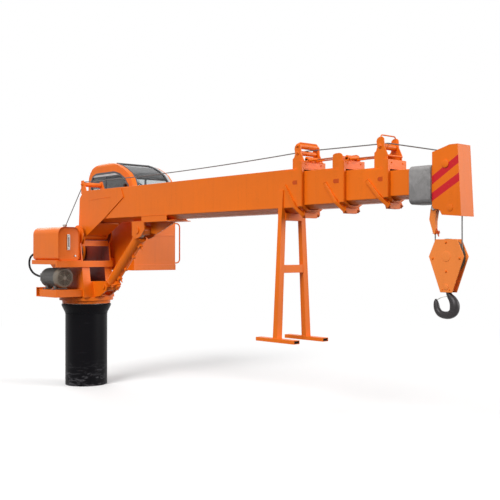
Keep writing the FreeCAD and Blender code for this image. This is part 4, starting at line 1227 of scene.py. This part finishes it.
# rope guards over the rollers, as place along the boom, half width and top
guardRods = {"boom_base": (4.975, 0.157, 3.388), "section_3": (6.168, 0.125, 3.357)}
guardBend = 0.026
for body, (x, half, top) in guardRods.items():
    bm = bmesh.new()
    corner = [(guardBend - guardBend * math.cos(a), guardBend * math.sin(a) - 0.004)
              for a in (math.radians(15 * i) for i in range(7))]
    loop = [(x, -half + along, top + rise) for along, rise in [(0, -0.03)] + corner]
    loop += [(px, -py, pz) for px, py, pz in reversed(loop)]
    addSweep(bm, loop, circle(0.0075, 10))
    lowRod = [(x + 0.085, side * (half + 0.004), top - 0.205) for side in (-1, 1)]
    addSweep(bm, lowRod, circle(0.011, 12))
    pieceFrom(body + "_guardRods", bm, orange, body)
# caps at both ends of each roller, as its place and half width
rollerCaps = {"boom_base": ((ropeStands["boom_base"]["at"], 0.164), (guardTube["at"], 0.164),
                            (tailRoller["at"], 0.18)),
              "section_3": ((ropeStands["section_3"]["at"], 0.132),)}
capProfile = ((-0.002, 0.024), (0.006, 0.024), (0.01, 0.015), (0.02, 0.013))
for body, spots in rollerCaps.items():
    bm = bmesh.new()
    for (x, z), y in spots:
        for side in (-1, 1):
            addLathe(bm, capProfile, (x, side * y, z), (0, side, 0), 20)
    pieceFrom(body + "_rollerCaps", bm, orange, body)
print("collars detailed")

# boom rest: leaning posts that run up beside the boom, open foot bars with near black faces just inside their
# ends as painted shade
rest = {"x": 4.7, "half": (0.039, 0.033, 0.046), "foot": 0.247, "head": 0.17, "level": (1.05, 1.094),
        "footHalf": 0.047, "footLong": 0.65, "wall": 0.006, "shadeFaceDepth": 0.007, "saddle": (2.525, 2.594),
        "top": 2.86, "topHalf": 0.19, "boom": (0.1805, 2.652), "cross": (1.874, 1.97)}


def restFoot(bm, side):
    x, y, wide = rest["x"], side * rest["foot"], rest["half"][0] + 0.002
    low, level = rest["level"]
    x0, x1 = x - rest["footLong"] / 2, x + rest["footLong"] / 2
    wall, deep = rest["wall"], rest["shadeFaceDepth"]
    rows = []
    for along, inset in ((x0 + deep, wall), (x0, wall), (x0, 0), (x1, 0), (x1, wall), (x1 - deep, wall)):
        half = rest["footHalf"] - inset
        corners = ((-1, low + inset), (1, low + inset), (1, level - inset), (-1, level - inset))
        rows.append([bm.verts.new((along, y + a * half, z)) for a, z in corners])
    skin(bm, rows)
    # near black faces just inside both ends: painted shade of the hollow bar
    for row in (rows[0], rows[-1]):
        bm.faces.new(row).material_index = 1
    bead("boom_base", *[(x + a * wide, y + b * wide, level + 0.001)
                        for a, b in ((-1, -1), (1, -1), (1, 1), (-1, 1), (-1, -1))])


def boomRest():
    x, foot, head, top = rest["x"], rest["foot"], rest["head"], rest["top"]
    wide, narrow, flange = rest["half"]
    level = rest["level"][1]
    saddleLow, saddleTop = rest["saddle"]
    bm = bmesh.new()
    edge = [(foot + wide, level, wide), (head + narrow, saddleLow, narrow), (rest["topHalf"], top, flange),
            (rest["boom"][0], top, flange), (*rest["boom"], flange), (head - narrow, saddleTop, narrow),
            (head - narrow, saddleLow, narrow), (foot - wide, level, wide)]
    for side in (-1, 1):
        rear, near = [[bm.verts.new((x + end * half, side * y, z)) for y, z, half in edge] for end in (-1, 1)]
        bm.faces.new(rear)
        bm.faces.new(near)
        skin(bm, [rear, near])
    z0, z1 = rest["cross"]
    reach = foot + (head - foot) * (z0 - level) / (saddleLow - level)
    addBox(bm, (x - 0.03, -reach, z0), (x + 0.03, reach, z1))
    inner = head - narrow + 0.006
    addBox(bm, (x - 0.045, -inner, saddleLow - 0.022), (x + 0.045, inner, saddleTop))
    for side in (-1, 1):
        restFoot(bm, side)
    soften(bm, 0.003)
    pieceFrom("boomRest", bm, [orange, tubeEndShade], "boom_base", ["boom_rest"])


boomRest()

# boom head, wedge socket and hook block
sleeve = {"rear": 6.543, "front": 6.815, "half": 0.14, "low": 2.612, "top": 3.01, "corner": 0.055,
          "wall": 0.022, "sides": 32}


def tipSleeve():  # folded sheet wrapped round the fourth section
    rear, front, wall, sides = sleeve["rear"], sleeve["front"], sleeve["wall"], sleeve["sides"]
    middle, tall = (sleeve["low"] + sleeve["top"]) / 2, (sleeve["top"] - sleeve["low"]) / 2

    def ring(inset):
        corner = max(sleeve["corner"] - inset, 0.012)
        out = []
        for angle in around(sides, math.pi / sides):
            cy = math.copysign(sleeve["half"] - inset - corner, math.cos(angle))
            cz = math.copysign(tall - inset - corner, math.sin(angle))
            out.append((cy + corner * math.cos(angle), middle + cz + corner * math.sin(angle)))
        return out

    stations = ((rear + 0.012, wall), (rear + 0.001, wall), (rear, wall - 0.004), (rear, 0.006),
                (rear + 0.006, 0.001), (rear + 0.02, 0), (rear + 0.028, 0.004), (rear + 0.036, 0),
                (front - 0.036, 0), (front - 0.028, 0.004), (front - 0.02, 0), (front - 0.001, 0),
                (front - 0.001, wall))
    bm = bmesh.new()
    skin(bm, [[bm.verts.new((x, y, z)) for y, z in ring(inset)] for x, inset in stations], True)
    pieceFrom("tipSleeve", bm, primer, "section_4", ["tip_sleeve"], 50)


head = {"lowPin": (7.03, 0, 2.562), "socketPin": (6.775, 0, 2.572),
        "axleBoss": ((0.112, 0.04), (0.122, 0.04), (0.1256, 0.034)),
        "pinBoss": ((0.112, 0.034), (0.118, 0.034), (0.121, 0.026)),
        "pinHead": ((0.034, 0.022), (0.042, 0.022), (0.044, 0.018)),
        "splitPin": ((6.775, 0.039, 2.6), (6.775, 0.039, 2.545), (6.782, 0.042, 2.538))}


def headFittings():
    x, z = tackle["sheave"]
    bm = bmesh.new()
    for side in (-1, 1):
        addLathe(bm, head["axleBoss"], (x, 0, z), (0, side, 0), 32)
        addLathe(bm, head["pinBoss"], head["lowPin"], (0, side, 0), 24)
    soften(bm, 0.002, angle=50)
    pieceFrom("headBosses", bm, orange, "section_4")
    bm = bmesh.new()
    addLathe(bm, head["pinHead"], head["socketPin"], (0, -1, 0), 20)
    addSweep(bm, head["splitPin"], circle(0.003, 8))
    pieceFrom("socketPin", bm, turned, "section_4")


socket = {"half": (0.017, 0.029), "low": 2.3, "top": 2.602,
          "outline": ((6.75, 2.602), (6.798, 2.602), (6.808, 2.56), (6.788, 2.44), (6.789, 2.318),
                      (6.773, 2.3), (6.757, 2.322), (6.716, 2.455), (6.736, 2.56))}


def wedgeSocket():  # forged body that narrows towards the rope
    narrow, wide = socket["half"]
    rows = []
    for side in (-1, 1):
        rows.append([])
        for x, z in socket["outline"]:
            share = (z - socket["low"]) / (socket["top"] - socket["low"])
            rows[-1].append((x, side * (narrow + (wide - narrow) * share), z))
    bm = bmesh.new()
    addLoft(bm, *rows)
    soften(bm, 0.008, 3, 15)
    pieceFrom("wedgeSocket", bm, faded, "falls", ["wedge_socket"])


clip = {"at": (6.8, 2.322), "tailRadius": 0.0066, "lean": -10, "legs": (-0.008, 0.008), "legY": -0.011,
        "tail": ((6.792, 0, 2.36), (6.802, 0, 2.335), (6.808, 0, 2.305), (6.818, 0, 2.28)),
        "nut": ((0, 0.0085), (0.007, 0.0085))}


def ropeClip():  # dead end held back by a saddle clip
    bm = bmesh.new()
    x, z = clip["at"]
    y = clip["legY"]
    addSweep(bm, spline(clip["tail"], 6), circle(clip["tailRadius"], 12))
    addBox(bm, (x - 0.036, -0.015, z - 0.014), (x + 0.022, 0.015, z + 0.012),
           Matrix.Rotation(math.radians(clip["lean"]), 3, "Y"))
    for dz in clip["legs"]:
        addSweep(bm, [(x - 0.05, y, z + dz), (x + 0.03, y, z + dz - 0.008)], circle(0.004, 8))
        addLathe(bm, clip["nut"], (x + 0.022, y, z + dz - 0.006), (1, 0, 0), 6)
    pieceFrom("ropeClip", bm, dirtAndShadeOrange, "falls")


block = {"cheek": (0.036, 0.046), "trunnion": 1.765, "boltY": 0.0455,
         "outline": ((-0.129, 0.175), (0.129, 0.175), (0.21, 0), (0.071, -0.365), (-0.071, -0.365),
                     (-0.21, 0)),
         "crosshead": ((-0.046, -0.034, 1.724), (0.046, 0.034, 1.796)), "axle": (0.045, 0.03),
         "axleCap": ((0.045, 0.052), (0.049, 0.052), (0.051, 0.048)),
         "trunnionCap": ((0.03, 0.028), (0.05, 0.028), (0.052, 0.025)),
         "sideBolts": ((-0.16, 2.055), (0.16, 2.055)), "spacers": ((0, 1.923), (0, 2.216)),
         "spacer": (0.04, 0.011), "lowBolts": ((-0.042, 1.738), (0.042, 1.738))}


def hookBlock():
    x, z = tackle["block"]
    near, far = block["cheek"]
    bm = bmesh.new()
    for side in (-1, 1):
        cheek = [(x + dx, side * near, z + dz) for dx, dz in block["outline"]]
        addPrism(bm, cheek, (0, side * (far - near), 0))
    addBox(bm, *shifted(block["crosshead"], x, 0, 0))
    soften(bm, 0.0045, 3)
    for side in (-1, 1):
        addLathe(bm, block["axleCap"], (x, 0, z), (0, side, 0), 32)
        addLathe(bm, block["trunnionCap"], (x, 0, block["trunnion"]), (0, side, 0), 28)
    pieceFrom("hookBlockCheeks", bm, faded, "hook_block", ["hook_block"])
    bm = bmesh.new()
    reach, radius = block["axle"]
    addSweep(bm, [(x, -reach, z), (x, reach, z)], circle(radius, 24))
    reach, radius = block["spacer"]
    for dx, level in block["spacers"]:
        addSweep(bm, [(x + dx, -reach, level), (x + dx, reach, level)], circle(radius, 12))
    pieceFrom("blockSpacers", bm, turned, "hook_block")
    for spots, size in ((block["sideBolts"] + block["spacers"], 0.8), (block["lowBolts"], 0.5)):
        for dx, level in spots:
            for side in (-1, 1):
                bolt("hook_block", (x + dx, side * block["boltY"], level), (0, side, 0), size)


# hook line as offset from its axis, height and radius
hook = {"flat": 0.9, "sides": 24,
        "line": ((0, 1.834, 0.024), (0, 1.79, 0.026), (0, 1.712, 0.027), (0.016, 1.676, 0.032),
                 (0.05, 1.636, 0.043), (0.072, 1.585, 0.051), (0.064, 1.524, 0.049), (0.02, 1.487, 0.042),
                 (-0.04, 1.478, 0.038), (-0.1, 1.492, 0.036), (-0.135, 1.53, 0.034), (-0.147, 1.575, 0.031),
                 (-0.152, 1.612, 0.024), (-0.155, 1.64, 0.008)),
        "nut": ((1.798, 0.033), (1.832, 0.033), (1.836, 0.028)),
        "latch": ((0.002, 1.672), (-0.05, 1.664), (-0.1, 1.65), (-0.134, 1.632)),
        "latchPin": ((0.002, -0.034, 1.674), (0.002, 0.034, 1.674))}


def forgedHook():
    x = tackle["block"][0]
    # the radius is smoothed along with the line
    run = spline([(x + dx, radius, z) for dx, z, radius in hook["line"]])
    radii = iter([max(p.y, 0.004) for p in run])

    def ring(along):
        radius = next(radii)
        wide = radius * hook["flat"]
        return [(wide * math.cos(angle), radius * math.sin(angle)) for angle in around(hook["sides"])]

    bm = bmesh.new()
    addSweep(bm, [(p.x, 0, p.z) for p in run], ring, up=(0, 1, 0))
    addLathe(bm, hook["nut"], (x, 0, 0), (0, 0, 1), 6)
    pieceFrom("forgedHook", bm, forged, "hook", ["hook"], 50)
    bm = bmesh.new()
    addSweep(bm, spline([(x + dx, 0, z) for dx, z in hook["latch"]], 6), flat(0.024, 0.004), up=(0, 0, 1))
    addSweep(bm, shifted(hook["latchPin"], x, 0, 0), circle(0.006, 10))
    pieceFrom("hookLatch", bm, zinc, "hook", ["hook_latch"])


tipSleeve()
headFittings()
wedgeSocket()
ropeClip()
hookBlock()
forgedHook()
print("tackle built")

# bolts and welds by the list
slewRing = {"radius": 0.408, "level": 1.418, "bolts": 30, "cheek": (0.2625, 0.035)}
columnWeld = {"radius": 0.336, "level": 1.149, "corners": 72}
# welds of both sides as body, place across, then (x, z) along the run
sideWelds = (("turret", 0.277, ((-0.4, 1.42), (0.335, 1.42))),
             ("boom_base", 0.181, ((1.283, 3.103), (1.35, 2.951), (0.828, 2.648))),
             ("boom_base", 0.1945, ((0.41, 2.948), (0.69, 2.962), (1.0, 2.968))),
             ("boom_base", 0.181, ((1.79, 2.652), (2.41, 2.652))))


def listBolts():  # none where the cheek plates stand
    across, clear = slewRing["cheek"]
    for spot in roundSpots((0, 0, slewRing["level"]), slewRing["radius"], slewRing["bolts"], "Z"):
        if abs(abs(spot[1]) - across) > clear:
            bolt("turret", spot, (0, 0, 1), 0.9)


def listWelds():
    for side in (-1, 1):
        for body, y, run in sideWelds:
            bead(body, *[(x, side * y, z) for x, z in run])
        for body, collar in collars.items():
            half, bend, top = sections[body][:3]
            x, y = collar["front"] - 0.292, side * (half + 0.001)
            bead(body, (x, y, top - 0.018), (x, y, bend + 0.6 * (top - bend)))
    rim = roundSpots((0, 0, columnWeld["level"]), columnWeld["radius"], columnWeld["corners"], "Z")
    bead("pedestal", *rim, rim[0])


listBolts()
listWelds()
for body, items in bolts.items():
    mesh = bpy.data.meshes.new(body + "BoltSpots")
    spots, aims, sizes = zip(*items)
    mesh.from_pydata(spots, [], [])
    aim = mesh.attributes.new("aim", "FLOAT_VECTOR", "POINT")
    aim.data.foreach_set("vector", [part for direction in aims for part in direction])
    mesh.attributes.new("size", "FLOAT", "POINT").data.foreach_set("value", sizes)
    growPiece(body + "_bolts", mesh, boltPaint, boltSizes, orange, body, 30)
for body, runs in beads.items():
    mesh = bpy.data.meshes.new(body + "WeldRuns")
    verts, edges = [], []
    for run in runs:
        edges += [(len(verts) + i, len(verts) + i + 1) for i in range(len(run) - 1)]
        verts += run
    mesh.from_pydata(verts, edges, [])
    growPiece(body + "_welds", mesh, beadPaint, beadSizes, black if body == "pedestal" else orange, body, 60)
print("bolts and welds grown")

# camera, light and floor
view = {"at": (11.83, -7.19, 2.094), "azimuth": 47.626, "rise": 0.314, "focal": 834.9, "image": 500,
        "sensor": 36}
camera = bpy.data.objects.new("photoCamera", bpy.data.cameras.new("photoCamera"))
scene.collection.objects.link(camera)
camera.data.sensor_width = view["sensor"]
camera.data.lens = view["focal"] / view["image"] * view["sensor"]
camera.location = view["at"]
camera.rotation_euler = (math.radians(90 + view["rise"]), 0, math.radians(view["azimuth"]))
scene.camera = camera

studio = {"target": (2.8, 0, 2.2), "lampReach": 50, "fadeStart": 5.0, "fadeEnd": 15.0, "sky": 0.52,
          "floor": 0.92, "bounce": 0.08, "floorHalf": 150}
lamps = ({"name": "keyLamp", "toward": (0.22, -0.76, 0.61), "size": 29.0, "power": 20000},
         {"name": "frontLamp", "toward": (0.76, 0.58, 0.27), "size": 31.0, "power": 15500},
         {"name": "rearLamp", "toward": (-0.82, 0.26, 0.51), "size": 29.0, "power": 5600})


def cameraSees(tree):  # straight, mirrored or through glass
    path = add(tree, "ShaderNodeLightPath")
    shiny = calc(tree, "MAXIMUM", path.outputs["Is Glossy Ray"], path.outputs["Is Transmission Ray"])
    return calc(tree, "MAXIMUM", path.outputs["Is Camera Ray"], shiny)


def paleFloor():  # fades to white away from the part
    mat, tree, shader = newMaterial("paleFloor")
    seen = cameraSees(tree)
    tone = ramp(tree, seen, 0, 1, studio["bounce"], studio["floor"])
    feed(tree, shader, {"Base Color": tone, "Roughness": 0.9, "Specular IOR Level": 0.0})
    place = add(tree, "ShaderNodeTexCoord").outputs["Object"]
    reach = add(tree, "ShaderNodeVectorMath", {0: place, 1: (*studio["target"][:2], 0)}, operation="DISTANCE")
    far = ramp(tree, reach.outputs["Value"], studio["fadeStart"], studio["fadeEnd"])
    glow = made(tree, "ShaderNodeEmission", {"Color": (1, 1, 1, 1), "Strength": 1.0})
    fade = calc(tree, "MULTIPLY", far, seen)
    mix = made(tree, "ShaderNodeMixShader", {0: fade, 1: shader.outputs[0], 2: glow})
    feed(tree, tree.nodes["Material Output"], {"Surface": mix})
    bm = bmesh.new()
    bmesh.ops.create_grid(bm, x_segments=1, y_segments=1, size=studio["floorHalf"])
    mesh = bpy.data.meshes.new("floor")
    bm.to_mesh(mesh)
    bm.free()
    link("floor", mesh, mat)


paleFloor()
for lamp in lamps:
    data = bpy.data.lights.new(lamp["name"], "AREA")
    data.shape = "DISK"
    data.size = lamp["size"]
    data.energy = lamp["power"]
    holder = bpy.data.objects.new(lamp["name"], data)
    scene.collection.objects.link(holder)
    toward = Vector(lamp["toward"]).normalized()
    holder.location = Vector(studio["target"]) + toward * studio["lampReach"]
    holder.rotation_euler = (-toward).to_track_quat("-Z", "Y").to_euler()

world = bpy.data.worlds.new("studio")
scene.world = world
world.use_nodes = True
sky = world.node_tree
brightness = ramp(sky, cameraSees(sky), 0, 1, studio["sky"], 1.0)
feed(sky, sky.nodes["Background"], {"Color": (1, 1, 1, 1), "Strength": brightness})
scene.view_settings.view_transform = "Standard"
print("studio ready")
